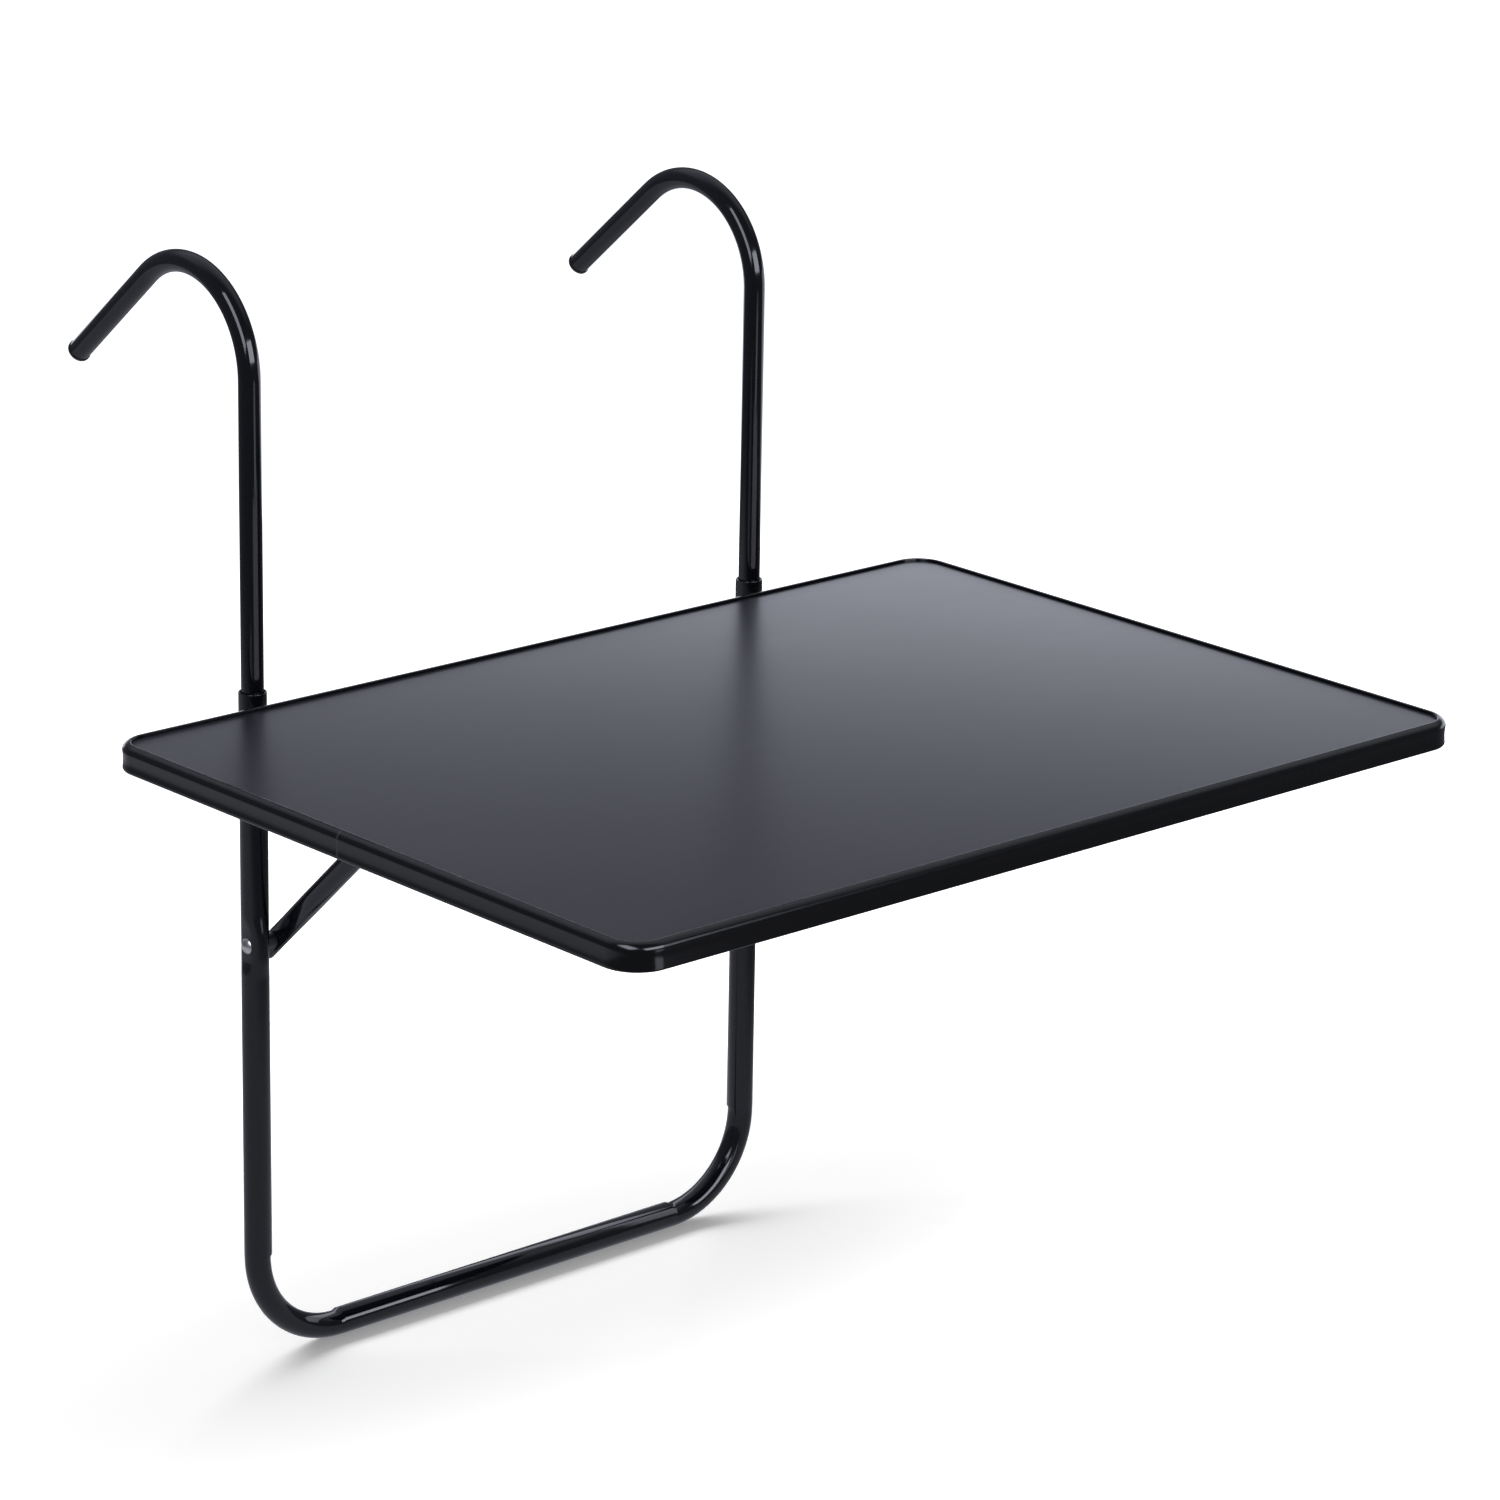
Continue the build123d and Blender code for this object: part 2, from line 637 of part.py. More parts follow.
def make_clamp_knob():
    """A fluted knob moulded on the end of the shaft."""
    low_x = clamp_end_x - knob_cover
    high_x = low_x + knob_height
    body = rod_x(knob_diameter / 2, low_x, high_x, upright_y, clamp_z)
    rims = body.edges().filter_by(GeomType.CIRCLE)
    body = fillet(rims, knob_edge_radius)
    boss = rod_x(knob_boss_diameter / 2, high_x, high_x + knob_boss_height, upright_y, clamp_z)
    flutes = [
        rod_x(knob_flute_radius, low_x, high_x, upright_y + flute.X, clamp_z + flute.Y)
        for flute in [
            Vector(knob_diameter / 2, 0).rotate(Axis.Z, turn * 360 / knob_flute_count)
            for turn in range(knob_flute_count)
        ]
    ]
    socket_radius = clamp_screw_diameter / 2 + running_clearance
    socket = rod_x(socket_radius, clamp_end_x, high_x + knob_boss_height, upright_y, clamp_z)
    return body + boss - flutes - socket


# Files
def save_pair(name, right):
    """Writes a right-hand piece and its mirror image."""
    export_step(right, f"parts/{name}_right.step")
    export_step(left_of(right), f"parts/{name}_left.step")


os.makedirs("parts", exist_ok=True)

single_pieces = {
    "u_frame": make_u_frame(),
    "board": make_board(),
    "edging": make_edging(),
    "brace": make_brace(),
    "bracket_screws": Compound([make_screw(x, y, bracket_bottom_z) for x, y in bracket_screw_places()]),
    "catch_screws": Compound([make_screw(x, y, catch_flange_z) for x, y in catch_screw_places()]),
}
paired_pieces = {
    "hinge_lug": make_hinge_lug(),
    "clamp_nut": make_clamp_nut(),
    "brace_rivet": make_brace_rivet(),
    "brace_washer": make_brace_washer(),
    "hinge_rivet": make_hinge_rivet(),
    "hinge_washer": make_hinge_washer(),
    "hinge_bracket": make_hinge_bracket(),
    "catch": make_catch(),
    "hook": make_hook(),
    "hook_plug": make_hook_plug(),
    "hook_glide": make_hook_glide(),
    "clamp_screw": make_clamp_screw(),
    "clamp_knob": make_clamp_knob(),
}
for piece_name, piece in single_pieces.items():
    export_step(piece, f"parts/{piece_name}.step")
for piece_name, piece in paired_pieces.items():
    save_pair(piece_name, piece)
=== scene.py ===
import json
import logging
import math
from dataclasses import dataclass, field
from enum import Enum
from typing import Any, Callable, Iterable, Union

import bmesh
import bpy
from mathutils import Euler, Matrix, Vector

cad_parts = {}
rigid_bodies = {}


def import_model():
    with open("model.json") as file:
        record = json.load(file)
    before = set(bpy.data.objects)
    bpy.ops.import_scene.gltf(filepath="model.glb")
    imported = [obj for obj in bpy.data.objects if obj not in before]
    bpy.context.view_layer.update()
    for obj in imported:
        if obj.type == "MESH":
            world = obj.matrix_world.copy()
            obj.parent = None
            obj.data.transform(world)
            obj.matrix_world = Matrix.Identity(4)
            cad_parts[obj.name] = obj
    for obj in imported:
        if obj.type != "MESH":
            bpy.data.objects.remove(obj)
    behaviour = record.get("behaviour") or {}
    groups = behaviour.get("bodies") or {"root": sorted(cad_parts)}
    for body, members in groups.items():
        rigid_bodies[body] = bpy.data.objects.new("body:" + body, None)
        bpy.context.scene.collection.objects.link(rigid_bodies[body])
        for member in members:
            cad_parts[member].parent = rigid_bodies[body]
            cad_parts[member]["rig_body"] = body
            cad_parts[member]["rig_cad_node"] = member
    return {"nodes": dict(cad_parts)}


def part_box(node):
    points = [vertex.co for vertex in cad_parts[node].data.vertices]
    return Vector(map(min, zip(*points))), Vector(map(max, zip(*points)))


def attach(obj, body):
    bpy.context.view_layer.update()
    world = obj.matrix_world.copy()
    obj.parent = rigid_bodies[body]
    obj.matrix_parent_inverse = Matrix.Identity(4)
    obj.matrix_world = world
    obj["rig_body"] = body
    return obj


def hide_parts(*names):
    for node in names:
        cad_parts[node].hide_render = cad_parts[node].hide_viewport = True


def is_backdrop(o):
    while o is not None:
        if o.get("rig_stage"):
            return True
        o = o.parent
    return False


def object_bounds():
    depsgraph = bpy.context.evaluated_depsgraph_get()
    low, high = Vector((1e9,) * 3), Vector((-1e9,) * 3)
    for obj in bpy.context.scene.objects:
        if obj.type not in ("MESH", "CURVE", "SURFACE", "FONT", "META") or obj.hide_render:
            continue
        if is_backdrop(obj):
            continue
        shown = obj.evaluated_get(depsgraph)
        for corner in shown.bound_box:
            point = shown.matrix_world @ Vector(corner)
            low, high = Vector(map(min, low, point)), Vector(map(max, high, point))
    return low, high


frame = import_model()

LOG = logging.getLogger("balcony_table")
JOINT_FROM_REAR = 0.2
X_AXIS = Vector((1, 0, 0))
Y_AXIS = Vector((0, 1, 0))
Z_AXIS = Vector((0, 0, 1))
Number = Union[float, "Value"]


class Slot(Enum):
    """The record's material slots."""

    PAINT = "paint"
    LAMINATE = "laminate"
    EDGE_PLASTIC = "edge_plastic"
    PLASTIC = "plastic"
    STEEL = "steel"


class Body(Enum):
    """The bodies that the pieces move with."""

    FRAME = "frame"
    TABLE = "table"
    BRACE = "brace"


class Side(Enum):
    """The two ends of the railing, by the sign of X."""

    LEFT = -1
    RIGHT = 1

    def of(self, name: str) -> str:
        """The name of a node or body on this side."""
        return f"{name}_{self.name.lower()}"


class Value:
    """A number that varies over a surface and takes part in Python arithmetic."""

    def __init__(self, shader: "Shader", socket: bpy.types.NodeSocket) -> None:
        """Wraps a socket.

        Args:
            shader: The shader that owns the socket.
            socket: The output that carries the number.
        """
        self.shader = shader
        self.socket = socket

    def _math(self, operation: str, first: Number, second: Number) -> "Value":
        """Adds a Math node.

        Args:
            operation: The node's operation.
            first: The first operand.
            second: The second operand.

        Returns:
            The node's result.
        """
        node = self.shader.node("ShaderNodeMath", {"operation": operation}, {0: first, 1: second})
        return Value(self.shader, node.outputs[0])

    def __add__(self, other: Number) -> "Value":
        """self + other."""
        return self._math("ADD", self, other)

    def __radd__(self, other: Number) -> "Value":
        """other + self."""
        return self._math("ADD", other, self)

    def __sub__(self, other: Number) -> "Value":
        """self - other."""
        return self._math("SUBTRACT", self, other)

    def __rsub__(self, other: Number) -> "Value":
        """other - self."""
        return self._math("SUBTRACT", other, self)

    def __mul__(self, other: Number) -> "Value":
        """self * other."""
        return self._math("MULTIPLY", self, other)

    def __rmul__(self, other: Number) -> "Value":
        """other * self."""
        return self._math("MULTIPLY", other, self)

    def above(self, low: float, high: float) -> "Value":
        """How far the number has risen from low to high, from 0 to 1.

        Args:
            low: Where the rise starts.
            high: Where it ends.

        Returns:
            The smooth rise.
        """
        settings = {"interpolation_type": "SMOOTHSTEP"}
        sockets = {"Value": self, "From Min": low, "From Max": high}
        return Value(self.shader, self.shader.node("ShaderNodeMapRange", settings, sockets).outputs[0])


class Shader:
    """The node tree of one finish, built round a Principled shader."""

    def __init__(self, name: str) -> None:
        """Starts a material with an empty tree.

        Args:
            name: The material's name.
        """
        self.material = bpy.data.materials.new(name)
        self.material.use_nodes = True
        self.tree = self.material.node_tree
        self.tree.nodes.clear()
        self.surface = self.node("ShaderNodeBsdfPrincipled", {}, {})
        self.output = self.node("ShaderNodeOutputMaterial", {}, {"Surface": self.surface.outputs[0]})
        self.place = self.node("ShaderNodeTexCoord", {}, {}).outputs["Object"]

    def node(self, kind: str, settings: dict[str, Any], sockets: dict[Any, Any]) -> bpy.types.Node:
        """Adds a node.

        Args:
            kind: The node's type.
            settings: Its properties, which are set first.
            sockets: The value or the link of each of its inputs.

        Returns:
            The new node.
        """
        made = self.tree.nodes.new(kind)
        for name, setting in settings.items():
            setattr(made, name, setting)
        for key, given in sockets.items():
            self.feed(made.inputs[key], given)
        return made

    def feed(self, socket: bpy.types.NodeSocket, given: Any) -> None:
        """Links a socket or sets its value.

        Args:
            socket: The input to feed.
            given: A Value, another socket, or a plain value.
        """
        if isinstance(given, Value):
            self.tree.links.new(given.socket, socket)
        elif isinstance(given, bpy.types.NodeSocket):
            self.tree.links.new(given, socket)
        else:
            socket.default_value = given

    def set(self, **inputs: Any) -> None:
        """Feeds the Principled shader; an underscore in a name stands for a space."""
        for name, given in inputs.items():
            self.feed(self.surface.inputs[name.replace("_", " ")], given)

    def noise(self, scale: float, detail: float = 2.0, stretch: tuple = (1, 1, 1)) -> Value:
        """Noise over the surface.

        Args:
            scale: Bumps per metre.
            detail: Levels of finer noise.
            stretch: Factors on the scale along X, Y and Z.

        Returns:
            The noise, from 0 to 1 with a middle of 0.5.
        """
        place = self.node("ShaderNodeMapping", {}, {"Vector": self.place, "Scale": stretch}).outputs[0]
        sockets = {"Vector": place, "Scale": scale, "Detail": detail}
        return Value(self, self.node("ShaderNodeTexNoise", {}, sockets).outputs[0])

    def cells(self, scale: float) -> Value:
        """Distance to the nearest of many scattered points, in units of their spacing.

        Args:
            scale: Points per metre.

        Returns:
            The distance.
        """
        sockets = {"Vector": self.place, "Scale": scale}
        return Value(self, self.node("ShaderNodeTexVoronoi", {}, sockets).outputs["Distance"])

    def distance(self, point: Iterable[float], stretch: tuple = (1, 1, 1)) -> Value:
        """Distance from a point.

        Args:
            point: The point.
            stretch: Factors on the distance along X, Y and Z.

        Returns:
            The distance.
        """
        place = self.node("ShaderNodeMapping", {}, {"Vector": self.place, "Scale": stretch}).outputs[0]
        point = [part * factor for part, factor in zip(point, stretch)]
        measure = self.node("ShaderNodeVectorMath", {"operation": "DISTANCE"}, {0: place, 1: point})
        return Value(self, measure.outputs["Value"])

    def blend(self, share: Number, first: Any, second: tuple) -> bpy.types.NodeSocket:
        """Mixes two colours.

        Args:
            share: The second colour's share.
            first: The colour at 0, or a colour socket.
            second: The colour at 1.

        Returns:
            The colour socket.
        """
        if isinstance(first, tuple):
            first = (*first, 1)
        mix = self.node("ShaderNodeMix", {"data_type": "RGBA"}, {0: share, 6: first, 7: (*second, 1)})
        return mix.outputs[2]

    def bump(self, height: Value, distance: float, strength: float = 1.0) -> None:
        """Feeds the Principled shader's normal from a height.

        Args:
            height: The relief, where 1 is full height.
            distance: The full height in metres.
            strength: The share of the effect.
        """
        sockets = {"Height": height, "Distance": distance, "Strength": strength}
        self.set(Normal=self.node("ShaderNodeBump", {}, sockets).outputs[0])


class WorldShader(Shader):
    """The node tree of the surround."""

    def __init__(self, world: bpy.types.World) -> None:
        """Starts from the world's own Background node.

        Args:
            world: The world.
        """
        self.tree = world.node_tree
        self.surface = self.tree.nodes["Background"]
        self.surface.inputs["Color"].default_value = (1, 1, 1, 1)
        self.place = self.node("ShaderNodeTexCoord", {}, {}).outputs["Generated"]


@dataclass(frozen=True)
class GlossPaint:
    """Black paint on the tubes: an orange-peel skin with a few grains of dust and dull patches."""

    colour: tuple = (0.005, 0.0058, 0.0095)
    dust_colour: tuple = (0.016, 0.017, 0.02)
    dust_cover: float = 0.6
    patch_cover: float = 0.2
    roughness: float = 0.07
    dull_patches: float = 0.05
    dull_grain: float = 0.15
    specular: float = 0.42
    peel_scale: float = 420
    peel_height: float = 0.000004
    patch_scale: float = 22
    patch_edge: tuple = (0.35, 0.75)
    grain_scale: float = 160
    grain_edge: tuple = (0.03, 0.07)
    dusty_scale: float = 60
    dusty_edge: tuple = (0.55, 0.62)

    def material(self) -> bpy.types.Material:
        """Builds the material."""
        shader = Shader("gloss_paint")
        peel = shader.noise(self.peel_scale, 2)
        patches = shader.noise(self.patch_scale, 4)
        dust = 1 - shader.cells(self.grain_scale).above(*self.grain_edge)
        grain = dust * shader.noise(self.dusty_scale, 1).above(*self.dusty_edge)
        dull = self.dull_patches * patches.above(*self.patch_edge) + self.dull_grain * grain
        dusty = grain * self.dust_cover + patches * self.patch_cover
        shader.set(Base_Color=shader.blend(dusty, self.colour, self.dust_colour))
        shader.set(Roughness=self.roughness + dull)
        shader.set(Specular_IOR_Level=self.specular)
        shader.bump(peel + 0.8 * grain, self.peel_height)
        return shader.material


@dataclass(frozen=True)
class SatinLaminate:
    """Charcoal laminate on the board: a fine satin skin with faint wiping marks."""

    colour: tuple = (0.0025, 0.0032, 0.0085)
    rubbed_colour: tuple = (0.0045, 0.0052, 0.0105)
    roughness: float = 0.27
    specular: float = 0.5
    patch_scale: float = 9
    patch_edge: tuple = (0.4, 0.7)
    wipe_scale: float = 120
    wipe_stretch: tuple = (0.12, 1.0, 1.0)
    wipe_edge: tuple = (0.55, 0.75)
    skin_scale: float = 260
    skin_height: float = 0.000004

    def material(self) -> bpy.types.Material:
        """Builds the material."""
        shader = Shader("satin_laminate")
        patches = shader.noise(self.patch_scale, 5)
        wipes = shader.noise(self.wipe_scale, 3, self.wipe_stretch)
        rubbed = 0.55 * patches.above(*self.patch_edge) + 0.25 * wipes.above(*self.wipe_edge)
        shader.set(Base_Color=shader.blend(rubbed, self.colour, self.rubbed_colour))
        shader.set(Roughness=self.roughness + 0.04 * patches + 0.03 * wipes)
        shader.set(Specular_IOR_Level=self.specular)
        shader.bump(shader.noise(self.skin_scale, 1), self.skin_height)
        return shader.material


@dataclass(frozen=True)
class GlossEdging:
    """Black plastic edging with faint drawing lines along the strip, whitened where its ends meet."""

    colour: tuple = (0.002, 0.0024, 0.004)
    scuff_colour: tuple = (0.016, 0.016, 0.018)
    cut_colour: tuple = (0.045, 0.047, 0.054)
    cut_half_width: float = 0.0007
    cut_fade: float = 3.0
    cut_edge: tuple = (0.5, 1.1)
    roughness: float = 0.13
    specular: float = 0.45
    line_scale: float = 30
    line_stretch: tuple = (0.6, 0.6, 60)
    line_height: float = 0.000008
    scuff_scale: float = 240
    scuff_edge: tuple = (0.64, 0.78)
    scuffed_scale: float = 12
    scuffed_edge: tuple = (0.5, 0.65)
    skin_scale: float = 500

    def material(self) -> bpy.types.Material:
        """Builds the material."""
        shader = Shader("gloss_edging")
        lines = shader.noise(self.line_scale, 3, self.line_stretch)
        marks = shader.noise(self.scuff_scale, 4, (1, 1, 3)).above(*self.scuff_edge)
        scuffs = marks * shader.noise(self.scuffed_scale, 2).above(*self.scuffed_edge)
        low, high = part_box("edging")
        joint = Vector((low.x, high.y - JOINT_FROM_REAR, (low.z + high.z) / 2))
        stretch = (self.cut_fade, 1 / self.cut_half_width, self.cut_fade)
        cut = 1 - shader.distance(joint, stretch).above(*self.cut_edge)
        scuffed = shader.blend(0.6 * scuffs, self.colour, self.scuff_colour)
        shader.set(Base_Color=shader.blend(cut, scuffed, self.cut_colour))
        shader.set(Roughness=self.roughness + 0.05 * lines + 0.16 * scuffs)
        shader.set(Specular_IOR_Level=self.specular)
        shader.bump(lines + 0.3 * shader.noise(self.skin_scale, 2), self.line_height)
        return shader.material


@dataclass(frozen=True)
class MouldedPlastic:
    """Black moulded plastic with a spark-eroded skin."""

    colour: tuple = (0.008, 0.008, 0.0085)
    worn_colour: tuple = (0.022, 0.022, 0.023)
    roughness: float = 0.42
    grain_scale: float = 1700
    grain_height: float = 0.000025
    patch_scale: float = 70
    patch_edge: tuple = (0.45, 0.75)

    def material(self) -> bpy.types.Material:
        """Builds the material."""
        shader = Shader("moulded_plastic")
        grain = shader.noise(self.grain_scale, 2)
        worn = 0.5 * shader.noise(self.patch_scale, 3).above(*self.patch_edge)
        shader.set(Base_Color=shader.blend(worn, self.colour, self.worn_colour))
        shader.set(Roughness=self.roughness + 0.14 * grain)
        shader.bump(grain, self.grain_height)
        return shader.material


@dataclass(frozen=True)
class PlatedSteel:
    """Zinc-plated steel, slightly mottled, with fine scratches."""

    colour: tuple = (0.66, 0.66, 0.65)
    dull_colour: tuple = (0.42, 0.42, 0.41)
    roughness: float = 0.2
    mottle_scale: float = 420
    mottle_edge: tuple = (0.35, 0.75)
    scratch_scale: float = 900
    scratch_stretch: tuple = (0.15, 1.4, 0.6)
    scratch_edge: tuple = (0.5, 0.7)
    scratch_height: float = 0.000006

    def material(self) -> bpy.types.Material:
        """Builds the material."""
        shader = Shader("plated_steel")
        mottle = shader.noise(self.mottle_scale, 4)
        scratches = shader.noise(self.scratch_scale, 2, self.scratch_stretch)
        dull = 0.16 * mottle + 0.1 * scratches.above(*self.scratch_edge)
        shader.set(Base_Color=shader.blend(mottle.above(*self.mottle_edge), self.colour, self.dull_colour))
        shader.set(Metallic=1.0)
        shader.set(Roughness=self.roughness + dull)
        shader.bump(scratches, self.scratch_height)
        return shader.material


class Bench:
    """Steps on the piece that is being shaped."""

    merge_distance: float = 0.000001
    smooth_angle: float = math.radians(40)

    @staticmethod
    def clear() -> None:
        """Leaves edit mode and deselects everything."""
        if bpy.context.mode != "OBJECT":
            bpy.ops.object.mode_set(mode="OBJECT")
        bpy.ops.object.select_all(action="DESELECT")

    @staticmethod
    def pick(piece: bpy.types.Object) -> None:
        """Selects one piece and makes it the active one."""
        Bench.clear()
        piece.hide_set(False)
        piece.select_set(True)
        bpy.context.view_layer.objects.active = piece

    @staticmethod
    def settle() -> None:
        """Moves the selected piece's place and turn into its mesh."""
        bpy.ops.object.transform_apply(location=True, rotation=True, scale=True)

    @staticmethod
    def merge() -> None:
        """Selects all of the piece in edit mode and merges its doubles."""
        bpy.ops.mesh.select_all(action="SELECT")
        bpy.ops.mesh.remove_doubles(threshold=Bench.merge_distance)

    @staticmethod
    def open(name: str) -> bpy.types.Object:
        """Names the primitive that was just added, fixes its place in its mesh and opens it.

        Args:
            name: The piece's name.

        Returns:
            The piece, in edit mode with all of it selected.
        """
        piece = bpy.context.object
        piece.name = name
        piece.data.name = name
        Bench.settle()
        bpy.ops.object.mode_set(mode="EDIT")
        bpy.ops.mesh.select_mode(type="VERT")
        bpy.ops.mesh.select_all(action="SELECT")
        return piece

    @staticmethod
    def close(piece: bpy.types.Object, recalculate: bool = True) -> bpy.types.Object:
        """Merges doubles, turns the faces outward, leaves edit mode and smooths the piece.

        Args:
            piece: The piece in edit mode.
            recalculate: Whether the faces are turned outward.

        Returns:
            The piece.
        """
        Bench.merge()
        if recalculate:
            bpy.ops.mesh.normals_make_consistent(inside=False)
        bpy.ops.object.mode_set(mode="OBJECT")
        bpy.ops.object.shade_smooth_by_angle(angle=Bench.smooth_angle)
        return piece

    @staticmethod
    def choose(piece: bpy.types.Object, test: Callable[[Vector], bool]) -> None:
        """Selects the vertices whose place passes a test, and the edges and faces between them.

        Args:
            piece: The piece in edit mode.
            test: Says whether a place counts.
        """
        bpy.ops.mesh.select_all(action="DESELECT")
        mesh = bmesh.from_edit_mesh(piece.data)
        for vertex in mesh.verts:
            if test(vertex.co):
                vertex.select_set(True)
        mesh.select_flush(True)
        bmesh.update_edit_mesh(piece.data)

    @staticmethod
    def choose_edges(piece: bpy.types.Object, test: Callable[[Vector, Vector], bool]) -> None:
        """Selects the edges whose two ends pass a test, and nothing between them.

        Args:
            piece: The piece in edit mode.
            test: Says whether an edge between two places counts.
        """
        bpy.ops.mesh.select_all(action="DESELECT")
        mesh = bmesh.from_edit_mesh(piece.data)
        for edge in mesh.edges:
            if test(edge.verts[0].co, edge.verts[1].co):
                edge.select_set(True)
        bmesh.update_edit_mesh(piece.data)

    @staticmethod
    def move_some(piece: bpy.types.Object, test: Callable[[Vector], bool], step: Vector) -> None:
        """Moves those of the selected vertices whose place passes a test, and keeps the selection.

        Args:
            piece: The piece in edit mode.
            test: Says whether a place counts.
            step: The move.
        """
        mesh = bmesh.from_edit_mesh(piece.data)
        mesh.verts.index_update()
        chosen = [vertex.index for vertex in mesh.verts if vertex.select]
        passing = [vertex.index for vertex in mesh.verts if vertex.select and test(vertex.co)]
        Bench._select(piece, passing)
        bpy.ops.transform.translate(value=step)
        Bench._select(piece, chosen)

    @staticmethod
    def _select(piece: bpy.types.Object, indices: Iterable[int]) -> None:
        """Selects vertices by number.

        Args:
            piece: The piece in edit mode.
            indices: The numbers.
        """
        mesh = bmesh.from_edit_mesh(piece.data)
        mesh.verts.ensure_lookup_table()
        bpy.ops.mesh.select_all(action="DESELECT")
        for index in indices:
            mesh.verts[index].select_set(True)
        mesh.select_flush(True)
        bmesh.update_edit_mesh(piece.data)

    @staticmethod
    def extrude(step: Vector) -> None:
        """Extrudes what is selected by a step."""
        bpy.ops.mesh.extrude_region_move(TRANSFORM_OT_translate={"value": step})

    @staticmethod
    def spin(centre: Vector, axis: Vector, degrees: float, steps: int) -> None:
        """Sweeps what is selected round an axis, by the right-hand rule.

        Args:
            centre: A point on the axis.
            axis: The axis.
            degrees: The turn.
            steps: The number of new sections.
        """
        bpy.ops.mesh.spin(steps=steps, angle=-math.radians(degrees), center=centre, axis=axis)

    @staticmethod
    def trace(name: str, points: list[Vector]) -> bpy.types.Object:
        """Draws a line of edges, point by point.

        Args:
            name: The piece's name.
            points: The corners of the line.

        Returns:
            The piece, in edit mode with all of it selected.
        """
        Bench.clear()
        bpy.ops.mesh.primitive_plane_add(size=0.001, location=points[0])
        piece = Bench.open(name)
        bpy.ops.mesh.merge(type="CENTER")
        for last, point in zip(points, points[1:]):
            bpy.ops.mesh.extrude_vertices_move(TRANSFORM_OT_translate={"value": point - last})
        bpy.ops.mesh.select_all(action="SELECT")
        return piece

    @staticmethod
    def modify(piece: bpy.types.Object, kind: str, **settings: Any) -> None:
        """Adds a modifier to a piece in object mode and applies it.

        Args:
            piece: The piece.
            kind: The modifier's type.
            **settings: Its settings.
        """
        Bench.pick(piece)
        modifier = piece.modifiers.new(kind.lower(), kind)
        for name, setting in settings.items():
            setattr(modifier, name, setting)
        bpy.ops.object.modifier_apply(modifier=modifier.name)

    @staticmethod
    def copy(piece: bpy.types.Object, name: str, step: Vector, turn: float = 0.0) -> bpy.types.Object:
        """Copies a piece with its own mesh, turned about the vertical through the origin and then moved.

        Args:
            piece: The piece to copy.
            name: The copy's name.
            step: The move.
            turn: The turn in degrees.

        Returns:
            The copy.
        """
        Bench.pick(piece)
        bpy.ops.object.duplicate(linked=False)
        made = bpy.context.object
        made.name = name
        made.data.name = name
        made.location = step
        made.rotation_euler = Euler((0, 0, math.radians(turn)))
        Bench.settle()
        return made


def arc(centre: tuple, radius: float, start: float, end: float, steps: int) -> list[tuple]:
    """Points on a round stretch of a section.

    Args:
        centre: The centre's two coordinates.
        radius: The radius.
        start: The first point's angle in degrees.
        end: The last point's angle in degrees.
        steps: The number of edges.

    Returns:
        The points' coordinates.
    """
    turns = [math.radians(start + (end - start) * step / steps) for step in range(steps + 1)]
    return [(centre[0] + radius * math.cos(turn), centre[1] + radius * math.sin(turn)) for turn in turns]


def dome(radius: float, height: float, steps: int) -> list[tuple]:
    """Points on a shallow dome, from its tip to its rim.

    Args:
        radius: The rim's radius.
        height: The rise of the tip.
        steps: The number of edges.

    Returns:
        Distances along the axis from the tip, and radii.
    """
    ball = (radius * radius + height * height) / (2 * height)
    turns = [math.asin(radius / ball) * step / steps for step in range(steps + 1)]
    return [(ball - ball * math.cos(turn), ball * math.sin(turn)) for turn in turns]


def smooth(share: float) -> float:
    """A smooth rise from 0 to 1."""
    return share * share * (3 - 2 * share)


def middle(node: str) -> Vector:
    """The middle of a CAD node's box."""
    low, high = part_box(node)
    return (low + high) / 2


class Lathe:
    """A turned piece: a half section swept round its axis."""

    steps: int = 40

    @staticmethod
    def turn(name: str, section: list[tuple], start: Vector, axis: Vector, out: Vector) -> bpy.types.Object:
        """Builds the piece.

        Args:
            name: The piece's name.
            section: Distances along the axis, and radii.
            start: Where the distances start.
            axis: The axis, a unit vector.
            out: A unit vector across the axis.

        Returns:
            The piece in object mode.
        """
        points = [start + axis * along + out * radius for along, radius in section]
        piece = Bench.trace(name, points)
        Bench.spin(start, axis, 360, Lathe.steps)
        return Bench.close(piece)


